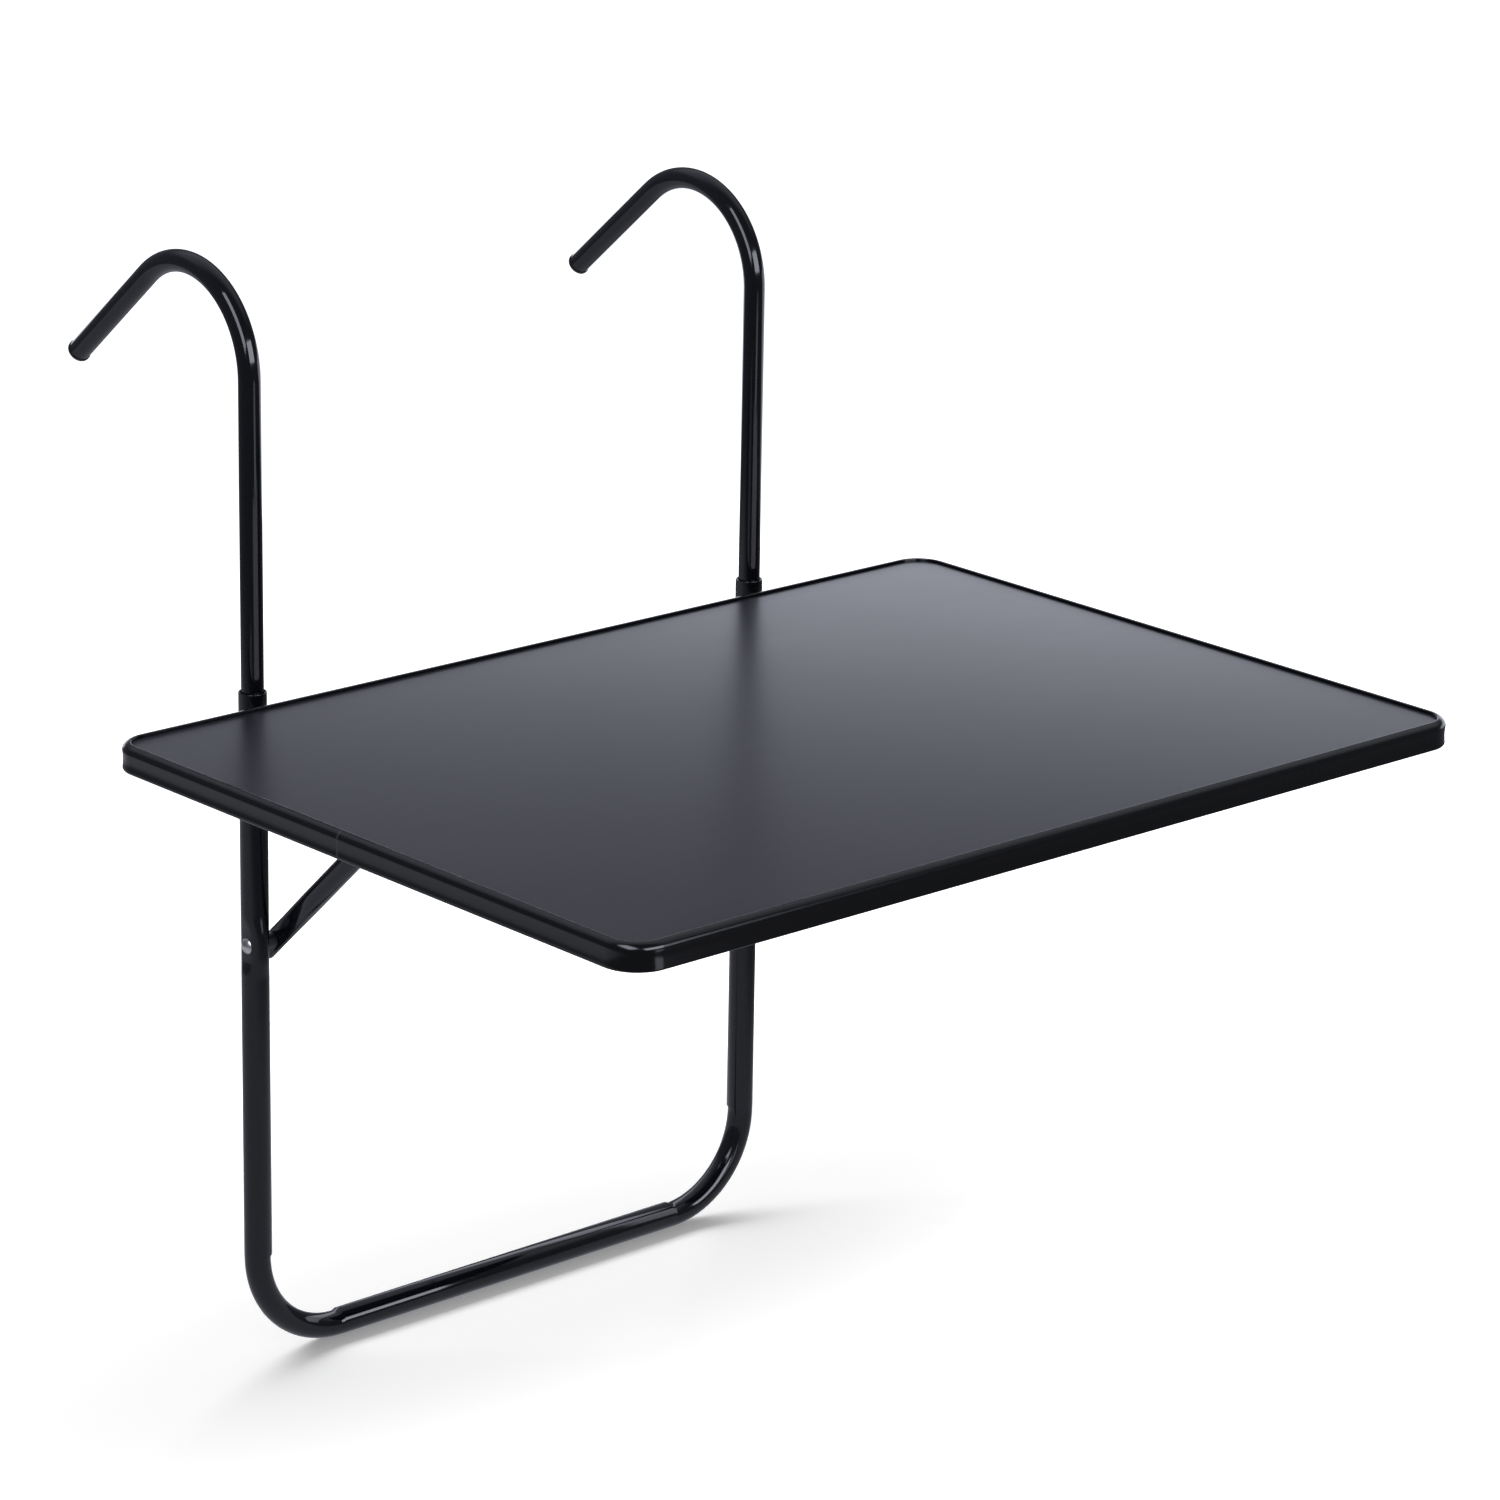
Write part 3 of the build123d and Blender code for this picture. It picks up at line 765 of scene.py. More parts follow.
@dataclass
class TubeRun:
    """A bent tube that is drawn out ring by ring."""

    name: str
    radius: float
    start: Vector
    segments: int = 56
    piece: bpy.types.Object = field(init=False)
    place: Vector = field(init=False)
    half: float = field(init=False)
    spread: float = field(init=False, default=0.0)

    def __post_init__(self) -> None:
        """Adds the first ring, level at the start."""
        Bench.clear()
        turn = math.pi / self.segments
        bpy.ops.mesh.primitive_circle_add(
            vertices=self.segments, radius=self.radius, location=self.start, rotation=(0, 0, turn)
        )
        self.piece = Bench.open(self.name)
        self.place = self.start.copy()
        self.half = self.radius

    def go(self, step: Vector) -> None:
        """Draws the tube out by a step."""
        Bench.extrude(step)
        self.place = self.place + step

    def go_to(self, place: Vector) -> None:
        """Draws the tube out to a place."""
        self.go(place - self.place)

    def bend(self, centre: Vector, axis: Vector, degrees: float, steps: int) -> None:
        """Bends the tube round an axis, by the right-hand rule.

        Args:
            centre: A point on the axis.
            axis: The axis.
            degrees: The turn.
            steps: The number of rings.
        """
        Bench.spin(centre, axis, degrees, steps)
        self.place = centre + Matrix.Rotation(math.radians(degrees), 3, axis) @ (self.place - centre)

    def shift(self, step: Vector) -> None:
        """Moves the last ring by a step."""
        bpy.ops.transform.translate(value=step)
        self.place = self.place + step

    def squeeze(self, factors: tuple) -> None:
        """Resizes the last ring about its middle."""
        bpy.ops.transform.resize(value=factors, center_override=self.place)

    def press(self, half: float, spread: float) -> None:
        """Gives the last, level ring two flat sides that face along X.

        Args:
            half: Half the thickness.
            spread: Half the distance between the two round ends.
        """
        self._part(-self.spread)
        share = half / self.half
        self.squeeze((share, share, 1))
        self._part(spread)
        self.half = half
        self.spread = spread

    def _part(self, distance: float) -> None:
        """Moves the front and rear halves of the last ring apart.

        Args:
            distance: Each half's move along Y.
        """
        if distance == 0:
            return
        middle_y = self.place.y
        Bench.move_some(self.piece, lambda co: co.y > middle_y, Vector((0, distance, 0)))
        Bench.move_some(self.piece, lambda co: co.y < middle_y, Vector((0, -distance, 0)))

    def cap(self) -> None:
        """Closes the last ring with a face."""
        bpy.ops.mesh.edge_face_add()

    def finish(self, wall: float) -> bpy.types.Object:
        """Leaves edit mode and gives the tube its wall.

        Args:
            wall: The wall's thickness, or 0 for a solid piece.

        Returns:
            The piece.
        """
        Bench.close(self.piece)
        if wall:
            Bench.modify(self.piece, "SOLIDIFY", thickness=wall, offset=-1, use_even_offset=True)
            bpy.ops.object.shade_smooth_by_angle(angle=Bench.smooth_angle)
        return self.piece


class Dresser:
    """Gives pieces their finishes and bodies and reports them."""

    def __init__(self) -> None:
        """Makes each finish once."""
        self.finishes = {
            Slot.PAINT: GlossPaint().material(),
            Slot.LAMINATE: SatinLaminate().material(),
            Slot.EDGE_PLASTIC: GlossEdging().material(),
            Slot.PLASTIC: MouldedPlastic().material(),
            Slot.STEEL: PlatedSteel().material(),
        }

    def paint(self, piece: bpy.types.Object, slot: Slot) -> None:
        """Puts a finish on a piece.

        Args:
            piece: The piece.
            slot: The finish's slot.
        """
        piece.data.materials.clear()
        piece.data.materials.append(self.finishes[slot])

    def dress(self, piece: bpy.types.Object, slot: Slot, body: str, *nodes: str) -> None:
        """Finishes a new piece.

        Args:
            piece: The piece.
            slot: Its finish's slot.
            body: The body that it moves with.
            *nodes: The CAD nodes that it stands for.
        """
        self.paint(piece, slot)
        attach(piece, body)
        if nodes:
            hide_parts(*nodes)
        LOG.info("%s: %d faces, on %s", piece.name, len(piece.data.polygons), body)

    def carry(self, node: str, slot: Slot) -> None:
        """Puts a finish on a CAD node that is shown as it is.

        Args:
            node: The node.
            slot: Its finish's slot.
        """
        self.paint(frame["nodes"][node], slot)
        LOG.info("%s: carried over", node)


@dataclass
class UFrame:
    """The bent tube with its uprights, bottom bar and pressed flats."""

    tube_radius: float = 0.00795
    wall: float = 0.001
    bend_radius: float = 0.056
    bend_steps: int = 28
    shoulder: float = 0.0016
    dent_in_plane: float = 0.00065
    dent_across: float = 0.0002
    shift_outward: float = 0.0005
    pressed_half: float = 0.00595
    pressed_spread: float = 0.00315
    flat_height: float = 0.012
    pressed_height: float = 0.040
    neck_rings: int = 7
    rim_round: float = 0.00025
    rim_steps: int = 3

    def build(self, dresser: Dresser) -> None:
        """Builds and dresses the tube.

        Args:
            dresser: Gives the finish.
        """
        low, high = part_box("u_frame")
        x = high.x - self.tube_radius
        y = (low.y + high.y) / 2
        bar_z = low.z + self.tube_radius
        bend_z = bar_z + self.bend_radius
        bend_x = x - self.bend_radius
        pivot_z = middle("brace_rivet_right").z
        run = TubeRun("frame_tube", self.tube_radius, Vector((x, y, high.z)))
        self._pressed_length(run, pivot_z, -1)
        run.go_to(Vector((x, y, bend_z + self.shoulder)))
        run.go_to(Vector((x, y, bend_z)))
        self._dent(run, X_AXIS, 1)
        run.bend(Vector((bend_x, y, bend_z)), Y_AXIS, 90, self.bend_steps)
        run.go(Vector((-self.shoulder, 0, 0)))
        self._dent(run, -Z_AXIS, -1)
        run.go_to(Vector((self.shoulder - bend_x, y, bar_z)))
        run.go_to(Vector((-bend_x, y, bar_z)))
        self._dent(run, -Z_AXIS, 1)
        run.bend(Vector((-bend_x, y, bend_z)), Y_AXIS, 90, self.bend_steps)
        run.go(Vector((0, 0, self.shoulder)))
        self._dent(run, -X_AXIS, -1)
        self._pressed_length(run, pivot_z, 1)
        run.go_to(Vector((-x, y, high.z)))
        piece = run.finish(self.wall)
        self._round_rims(piece, high.z)
        dresser.dress(piece, Slot.PAINT, Body.FRAME.value, "u_frame")

    def _dent(self, run: TubeRun, outward: Vector, sign: int) -> None:
        """Flattens the ring at a bend's start, or rounds it again after its end.

        Args:
            run: The tube.
            outward: The direction away from the bend's centre.
            sign: 1 to flatten, -1 to round again.
        """
        flat = (1 - self.dent_in_plane / self.tube_radius) ** sign
        thin = (1 - self.dent_across / self.tube_radius) ** sign
        run.squeeze(tuple(flat if abs(part) > 0.5 else thin for part in outward))
        run.shift(outward * self.shift_outward * sign)

    def _pressed_length(self, run: TubeRun, pivot_z: float, direction: int) -> None:
        """Draws the length that is pressed flat round a rivet.

        Args:
            run: The tube, vertical.
            pivot_z: The rivet's height.
            direction: 1 upward, -1 downward.
        """
        half = self.pressed_height / 2
        flat = self.flat_height / 2
        steps = [smooth(step / self.neck_rings) for step in range(self.neck_rings + 1)]
        neck = [(half + (flat - half) * step / self.neck_rings, share) for step, share in enumerate(steps)]
        for offset, share in [*((-offset, share) for offset, share in neck), *reversed(neck)]:
            run.go_to(Vector((run.place.x, run.place.y, pivot_z + direction * offset)))
            thickness = self.tube_radius + (self.pressed_half - self.tube_radius) * share
            run.press(thickness, self.pressed_spread * share)

    def _round_rims(self, piece: bpy.types.Object, top: float) -> None:
        """Rounds the edges of the open ends.

        Args:
            piece: The tube.
            top: The ends' height.
        """
        low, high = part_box("u_frame")
        x = high.x - self.tube_radius
        y = (low.y + high.y) / 2
        near = self.rim_round / 10

        def on_rim(first: Vector, second: Vector) -> bool:
            """Whether an edge runs along a rim, not across it."""
            radii = [math.hypot(abs(co.x) - x, co.y - y) for co in (first, second)]
            return min(first.z, second.z) > top - near and abs(radii[0] - radii[1]) < near

        Bench.pick(piece)
        bpy.ops.object.mode_set(mode="EDIT")
        Bench.choose_edges(piece, on_rim)
        bpy.ops.mesh.bevel(offset=self.rim_round, segments=self.rim_steps, affect="EDGES")
        Bench.close(piece, recalculate=False)


@dataclass
class Hooks:
    """The two bent hooks and the plugs in their free ends."""

    tube_radius: float = 0.00635
    wall: float = 0.001
    bend_radius: float = 0.056
    arm_drop: float = 40.0
    arm_length: float = 0.086
    bend_steps: int = 44
    segments: int = 48
    plug_radius: float = 0.0068
    plug_thickness: float = 0.0018
    plug_edge: float = 0.0007
    plug_edge_steps: int = 5
    plug_stem: float = 0.012
    plug_gap: float = 0.0001
    dimple_radius: float = 0.0014
    dimple_floor_radius: float = 0.00098
    dimple_depth: float = 0.0003

    def build(self, dresser: Dresser) -> None:
        """Builds the right hook and its plug, copies them to the left, and dresses all four.

        Args:
            dresser: Gives the finish.
        """
        low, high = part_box(Side.RIGHT.of("hook"))
        x = (low.x + high.x) / 2
        turn = math.radians(self.arm_drop)
        along = Vector((0, math.cos(turn), -math.sin(turn)))
        centre = Vector((x, 0, high.z - self.tube_radius - self.bend_radius))
        foot = Vector((x, -self.bend_radius, low.z))
        run = TubeRun("hook_tube_right", self.tube_radius, foot, self.segments)
        run.go_to(Vector((x, -self.bend_radius, centre.z)))
        run.bend(centre, X_AXIS, -90 - self.arm_drop, self.bend_steps)
        run.go(along * self.arm_length)
        end = run.place.copy()
        right_tube = run.finish(self.wall)
        right_plug = Lathe.turn("hook_end_plug_right", self._plug_section(), end, along, X_AXIS)
        to_left = Vector((-2 * x, 0, 0))
        pairs = {
            Side.RIGHT: (right_tube, right_plug),
            Side.LEFT: (
                Bench.copy(right_tube, "hook_tube_left", to_left),
                Bench.copy(right_plug, "hook_end_plug_left", to_left),
            ),
        }
        for side, (tube, plug) in pairs.items():
            dresser.dress(tube, Slot.PAINT, side.of("hook"), side.of("hook"))
            dresser.dress(plug, Slot.PLASTIC, side.of("hook"), side.of("hook_plug"))

    def _plug_section(self) -> list[tuple]:
        """The plug's half section, from its stem to its dimpled face.

        Returns:
            Distances from the tube's end, and radii.
        """
        stem_radius = self.tube_radius - self.wall - self.plug_gap
        edge_centre = (self.plug_thickness - self.plug_edge, self.plug_radius - self.plug_edge)
        rim = arc(edge_centre, self.plug_edge, 90, 0, self.plug_edge_steps)
        return [
            (-self.plug_stem, 0),
            (-self.plug_stem, stem_radius),
            (0, stem_radius),
            (0, self.plug_radius),
            *rim,
            (self.plug_thickness, self.dimple_radius),
            (self.plug_thickness - self.dimple_depth, self.dimple_floor_radius),
            (self.plug_thickness - self.dimple_depth, 0),
        ]


@dataclass
class Brace:
    """The folding prop: a bent tube with pressed ends."""

    tube_radius: float = 0.00635
    wall: float = 0.001
    bend_radius: float = 0.035
    bend_steps: int = 22
    segments: int = 48
    flat_half: float = 0.0022
    flat_width: float = 0.0129
    flat_length: float = 0.008
    neck_end: float = 0.052
    tip_length: float = 0.011
    neck_rings: int = 16
    tip_rings: int = 6
    tip_stop: float = 72.0

    def build(self, dresser: Dresser) -> None:
        """Builds the brace standing on its pivot, leans it and dresses it.

        Args:
            dresser: Gives the finish.
        """
        low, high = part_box("brace")
        pivot = middle("brace_rivet_right")
        rise = high.z - self.tube_radius - pivot.z
        reach = pivot.y - (low.y + self.tube_radius)
        length = math.hypot(rise, reach)
        leg_x = high.x - self.tube_radius
        bend_end = length - self.bend_radius
        bend_x = leg_x - self.bend_radius
        stations = self._end_stations()
        first = stations[0]
        run = TubeRun("brace_tube", first[1], Vector((leg_x, 0, first[0])), self.segments)
        run.press(first[1], first[2])
        run.cap()
        for z, half, spread in stations[1:]:
            run.go_to(Vector((leg_x, 0, z)))
            run.press(half, spread)
        run.go_to(Vector((leg_x, 0, bend_end)))
        run.bend(Vector((bend_x, 0, bend_end)), Y_AXIS, -90, self.bend_steps)
        run.go_to(Vector((-bend_x, 0, length)))
        run.bend(Vector((-bend_x, 0, bend_end)), Y_AXIS, -90, self.bend_steps)
        for z, half, spread in reversed(stations):
            run.go_to(Vector((-leg_x, 0, z)))
            run.press(half, spread)
        run.cap()
        piece = run.finish(0)
        piece.rotation_euler = Euler((math.atan2(reach, rise), 0, 0))
        piece.location = Vector((0, pivot.y, pivot.z))
        Bench.pick(piece)
        Bench.settle()
        dresser.dress(piece, Slot.PAINT, Body.BRACE.value, "brace")

    def _end_stations(self) -> list[tuple]:
        """Sections of one end, from its tip to the round leg.

        Returns:
            Height above the pivot, half thickness and spread of each section.
        """
        tip_radius = self.flat_width / 2
        full_spread = tip_radius - self.flat_half
        stations = []
        for step in range(self.tip_rings, -1, -1):
            turn = math.radians(self.tip_stop * step / self.tip_rings)
            spread = max(tip_radius * math.cos(turn) - self.flat_half, Bench.merge_distance * 10)
            stations.append((-self.tip_length - tip_radius * math.sin(turn), self.flat_half, spread))
        for step in range(self.neck_rings + 1):
            share = smooth(step / self.neck_rings)
            z = self.flat_length + (self.neck_end - self.flat_length) * step / self.neck_rings
            half = self.flat_half + (self.tube_radius - self.flat_half) * share
            stations.append((z, half, full_spread * (1 - share)))
        return stations


@dataclass
class TableTop:
    """The board and the edging strip that is pressed round it."""

    wall: float = 0.0025
    lip: float = 0.0025
    seat_drop: float = 0.002
    corner_radius: float = 0.021
    crest_flat: float = 0.00015
    inner_radius: float = 0.0006
    foot_radius: float = 0.0012
    hollow: float = 0.00035
    joint_gap: float = 0.0003
    joint_from_rear: float = JOINT_FROM_REAR
    corner_steps: int = 18
    inner_steps: int = 4
    crest_steps: int = 14
    hollow_steps: int = 8
    foot_steps: int = 5

    def build(self, dresser: Dresser) -> None:
        """Sweeps the edging round the board and dresses both.

        Args:
            dresser: Gives the finishes.
        """
        low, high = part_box("edging")
        mid_z = (low.z + high.z) / 2
        joint_y = high.y - self.joint_from_rear
        outside_x = low.x + self.wall
        start = joint_y - self.joint_gap / 2
        section = self._section((high.z - low.z) / 2)
        points = [Vector((outside_x - out, start, mid_z + up)) for out, up in section]
        strip = Bench.trace("edging_strip", points + points[:1])
        Bench.merge()
        self._sweep(low, high, joint_y)
        self._close_ends(strip, joint_y)
        Bench.close(strip)
        dresser.dress(strip, Slot.EDGE_PLASTIC, Body.TABLE.value, "edging")
        dresser.carry("board", Slot.LAMINATE)

    def _section(self, top: float) -> list[tuple]:
        """The strip's closed section.

        Args:
            top: Half the strip's height.

        Returns:
            Distances out from the board's edge, and heights from the board's middle.
        """
        crest_radius = self.wall + self.lip - self.inner_radius - self.crest_flat
        crest_low = top - crest_radius
        foot_high = self.foot_radius - top
        seat = top - self.seat_drop
        outer = []
        for step in range(1, self.hollow_steps):
            share = step / self.hollow_steps
            up = crest_low + (foot_high - crest_low) * share
            outer.append((self.wall - self.hollow * math.sin(math.pi * share), up))
        inner_centre = (self.inner_radius - self.lip, top - self.inner_radius)
        crest_centre = (self.wall - crest_radius, crest_low)
        foot_centre = (self.wall - self.foot_radius, foot_high)
        return [
            *arc(inner_centre, self.inner_radius, 180, 90, self.inner_steps),
            *arc(crest_centre, crest_radius, 90, 0, self.crest_steps),
            *outer,
            *arc(foot_centre, self.foot_radius, 0, -90, self.foot_steps),
            (-self.lip, -top),
            (-self.lip, -seat),
            (0, -seat),
            (0, seat),
            (-self.lip, seat),
        ]

    def _sweep(self, low: Vector, high: Vector, joint_y: float) -> None:
        """Draws the section round the four sides, back to the joint.

        Args:
            low: The strip's lowest corner.
            high: The strip's highest corner.
            joint_y: Y of the joint.
        """
        left = low.x + self.corner_radius
        right = high.x - self.corner_radius
        front = low.y + self.corner_radius
        rear = high.y - self.corner_radius
        gap = self.joint_gap / 2
        sides = [
            (Vector((0, front - joint_y + gap, 0)), Vector((left, front, 0))),
            (Vector((right - left, 0, 0)), Vector((right, front, 0))),
            (Vector((0, rear - front, 0)), Vector((right, rear, 0))),
            (Vector((left - right, 0, 0)), Vector((left, rear, 0))),
        ]
        for step, corner in sides:
            Bench.extrude(step)
            Bench.spin(corner, Z_AXIS, 90, self.corner_steps)
        Bench.extrude(Vector((0, joint_y + gap - rear, 0)))

    def _close_ends(self, strip: bpy.types.Object, joint_y: float) -> None:
        """Closes the strip's two ends at the joint.

        Args:
            strip: The strip in edit mode.
            joint_y: Y of the joint.
        """
        near = self.joint_gap / 4
        for sign in (-1, 1):
            end_y = joint_y + sign * self.joint_gap / 2
            Bench.choose(strip, lambda co: co.x < 0 and abs(co.y - end_y) < near)
            bpy.ops.mesh.edge_face_add()


@dataclass
class RivetsAndWashers:
    """The rivets of the brace and the hinge, and their washers."""

    brace_head_radius: float = 0.0045
    brace_head_height: float = 0.0022
    brace_shank_radius: float = 0.0025
    hinge_head_radius: float = 0.005
    hinge_head_height: float = 0.0018
    hinge_shank_radius: float = 0.003
    hole_gap: float = 0.00005
    chamfer: float = 0.0002
    dome_steps: int = 8

    def build(self, dresser: Dresser) -> None:
        """Builds the right-hand pieces, copies them to the left, and dresses them.

        Args:
            dresser: Gives the finish.
        """
        made = {
            "brace_rivet": self._rivet(
                "brace_rivet", (self.brace_head_radius, self.brace_head_height), self.brace_shank_radius
            ),
            "hinge_rivet": self._rivet(
                "hinge_rivet", (self.hinge_head_radius, self.hinge_head_height), self.hinge_shank_radius
            ),
            "brace_washer": self._washer("brace_washer", self.brace_shank_radius),
            "hinge_washer": self._washer("hinge_washer", self.hinge_shank_radius),
        }
        for node, piece in made.items():
            slot = Slot.PLASTIC if node == "brace_washer" else Slot.STEEL
            step = Vector((-2 * middle(Side.RIGHT.of(node)).x, 0, 0))
            left = Bench.copy(piece, f"turned_{Side.LEFT.of(node)}", step)
            dresser.dress(piece, slot, Body.FRAME.value, Side.RIGHT.of(node))
            dresser.dress(left, slot, Body.FRAME.value, Side.LEFT.of(node))

    @staticmethod
    def _turned(node: str, section: list[tuple]) -> bpy.types.Object:
        """Turns a piece about the level axis of its node.

        Args:
            node: The piece's name without its side.
            section: Distances from the node's low end, and radii.

        Returns:
            The right-hand piece.
        """
        low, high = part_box(Side.RIGHT.of(node))
        start = Vector((low.x, (low.y + high.y) / 2, (low.z + high.z) / 2))
        return Lathe.turn(f"turned_{Side.RIGHT.of(node)}", section, start, X_AXIS, Y_AXIS)

    def _rivet(self, node: str, head: tuple, shank_radius: float) -> bpy.types.Object:
        """Turns a rivet with a dome at each end.

        Args:
            node: The rivet's name without its side.
            head: The heads' radius and height.
            shank_radius: The shank's radius.

        Returns:
            The right-hand rivet.
        """
        low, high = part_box(Side.RIGHT.of(node))
        length = high.x - low.x
        height = head[1]
        first = dome(*head, self.dome_steps)
        last = [(length - along, radius) for along, radius in reversed(first)]
        return self._turned(node, [*first, (height, shank_radius), (length - height, shank_radius), *last])

    def _washer(self, node: str, shank_radius: float) -> bpy.types.Object:
        """Turns a washer with chamfered edges.

        Args:
            node: The washer's name without its side.
            shank_radius: The radius of the rivet inside it.

        Returns:
            The right-hand washer.
        """
        low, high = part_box(Side.RIGHT.of(node))
        thickness = high.x - low.x
        outer = (high.z - low.z) / 2
        inner = shank_radius + self.hole_gap
        section = [
            (0, inner),
            (0, outer - self.chamfer),
            (self.chamfer, outer),
            (thickness - self.chamfer, outer),
            (thickness, outer - self.chamfer),
            (thickness, inner),
            (0, inner),
        ]
        return self._turned(node, section)


@dataclass
class Clamps:
    """The threaded clamp screws and their fluted knobs."""

    pitch: float = 0.001
    thread_depth: float = 0.0004
    thread_steps: int = 28
    lead_in: float = 1.5
    spare_turns: int = 2
    knob_radius: float = 0.0105
    knob_height: float = 0.012
    boss_radius: float = 0.006
    knob_segments: int = 96
    flutes: int = 6
    flute_half_angle: float = 14.0
    flute_depth: float = 0.0021
    flute_levels: int = 5
    edge_round: float = 0.0009
    edge_steps: int = 4
    dish_radius_share: float = 0.62
    dish_depth: float = 0.0009

    def build(self, dresser: Dresser) -> None:
        """Builds the right-hand screw and knob, copies them to the left, and dresses them.

        Args:
            dresser: Gives the finishes.
        """
        axis_y = middle(Side.RIGHT.of("clamp_screw")).y
        over = Vector((0, 2 * axis_y, 0))
        screw = self._screw()
        knob = self._knob()
        left_screw = Bench.copy(screw, "clamp_thread_left", over, 180)
        left_knob = Bench.copy(knob, "clamp_grip_left", over, 180)
        for side, thread, grip in ((Side.RIGHT, screw, knob), (Side.LEFT, left_screw, left_knob)):
            dresser.dress(thread, Slot.STEEL, side.of("clamp"), side.of("clamp_screw"))
            dresser.dress(grip, Slot.PLASTIC, side.of("clamp"), side.of("clamp_knob"))

    def _screw(self) -> bpy.types.Object:
        """Winds the thread and cuts it to length.

        Returns:
            The right-hand screw.
        """
        low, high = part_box(Side.RIGHT.of("clamp_screw"))
        centre = (low + high) / 2
        length = high.x - low.x
        crest = (high.z - low.z) / 2
        root = crest - self.thread_depth
        flat = self.pitch / 8
        section = [
            (0, root),
            (self.pitch / 2 - flat, crest),
            (self.pitch / 2 + flat, crest),
            (self.pitch, root),
        ]
        piece = Bench.trace("clamp_thread_right", [Vector((along, radius, 0)) for along, radius in section])
        bpy.ops.object.mode_set(mode="OBJECT")
        turns = math.ceil(length / self.pitch) + self.spare_turns
        Bench.modify(
            piece,
            "SCREW",
            axis="X",
            angle=2 * math.pi,
            screw_offset=self.pitch,
            iterations=turns,
            steps=self.thread_steps,
            render_steps=self.thread_steps,
            use_merge_vertices=True,
            merge_threshold=Bench.merge_distance,
        )
        Bench.pick(piece)
        piece.location = Vector((low.x - self.pitch * self.lead_in, centre.y, centre.z))
        Bench.settle()
        bpy.ops.object.mode_set(mode="EDIT")
        Bench.merge()
        for place, sign in ((low.x, -1), (high.x, 1)):
            bpy.ops.mesh.select_all(action="SELECT")
            cut = {"plane_co": (place, 0, 0), "plane_no": (sign, 0, 0)}
            bpy.ops.mesh.bisect(**cut, use_fill=True, clear_outer=True)
        return Bench.close(piece)

    def _knob(self) -> bpy.types.Object:
        """Shapes the fluted knob with its boss and its dished face.

        Returns:
            The right-hand knob.
        """
        low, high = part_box(Side.RIGHT.of("clamp_knob"))
        screw_middle = middle(Side.RIGHT.of("clamp_screw"))
        centre = Vector((low.x, screw_middle.y, screw_middle.z))
        Bench.clear()
        bpy.ops.mesh.primitive_circle_add(
            vertices=self.knob_segments,
            radius=self.knob_radius,
            fill_type="NGON",
            location=centre,
            rotation=(0, math.pi / 2, 0),
        )
        piece = Bench.open("clamp_grip_right")
        self._flute(piece, centre)
        bpy.ops.mesh.select_all(action="SELECT")
        Bench.extrude(Vector((self.knob_height, 0, 0)))
        bpy.ops.mesh.inset(thickness=self.knob_radius - self.boss_radius - self.flute_depth / 2)
        Bench.extrude(Vector((high.x - low.x - self.knob_height, 0, 0)))
        self._round_edges(piece, low.x)
        self._dish(piece, low.x)
        return Bench.close(piece)

    def _flute(self, piece: bpy.types.Object, centre: Vector) -> None:
        """Presses the flutes into the knob's outline, level by level.

        Args:
            piece: The knob's flat outline in edit mode.
            centre: The outline's centre.
        """
        sector = 360 / self.flutes

        def off_flute(co: Vector) -> float:
            """Degrees from the nearest flute's middle."""
            turn = math.degrees(math.atan2(co.z - centre.z, co.y - centre.y))
            return abs((turn + sector / 2) % sector - sector / 2)

        turns = [math.pi / 2 * level / self.flute_levels for level in range(self.flute_levels)]
        depths = [self.flute_depth * math.cos(turn) for turn in turns]
        for level in range(self.flute_levels, 0, -1):
            limit = self.flute_half_angle * level / self.flute_levels
            deeper = depths[level - 1] - (depths[level] if level < self.flute_levels else 0)
            share = 1 - deeper / self.knob_radius
            Bench.choose(piece, lambda co: off_flute(co) < limit and (co - centre).length > self.boss_radius)
            bpy.ops.transform.resize(value=(1, share, share), center_override=centre)

    def _round_edges(self, piece: bpy.types.Object, face_x: float) -> None:
        """Rounds the knob's two outer rims.

        Args:
            piece: The knob in edit mode.
            face_x: X of its outer face.
        """
        near = self.edge_round / 10
        axis = middle(Side.RIGHT.of("clamp_screw"))
        smallest = self.boss_radius + self.flute_depth / 2

        def on_rim(first: Vector, second: Vector) -> bool:
            """Whether an edge runs along either rim."""
            radius = min(math.hypot(co.y - axis.y, co.z - axis.z) for co in (first, second))
            on_face = abs(first.x - face_x) < near or abs(first.x - face_x - self.knob_height) < near
            return on_face and radius > smallest and abs(first.x - second.x) < near

        Bench.choose_edges(piece, on_rim)
        bpy.ops.mesh.bevel(offset=self.edge_round, segments=self.edge_steps, affect="EDGES")

    def _dish(self, piece: bpy.types.Object, face_x: float) -> None:
        """Sinks a round dish into the knob's outer face.

        Args:
            piece: The knob in edit mode.
            face_x: X of the face.
        """
        near = self.edge_round / 10
        mesh = bmesh.from_edit_mesh(piece.data)
        bpy.ops.mesh.select_all(action="DESELECT")
        for face in mesh.faces:
            face.select_set(all(abs(vertex.co.x - face_x) < near for vertex in face.verts))
        bmesh.update_edit_mesh(piece.data)
        bpy.ops.mesh.inset(thickness=self.knob_radius * (1 - self.dish_radius_share) - self.flute_depth)
        bpy.ops.mesh.inset(thickness=self.dish_depth)
        bpy.ops.transform.translate(value=(self.dish_depth, 0, 0))


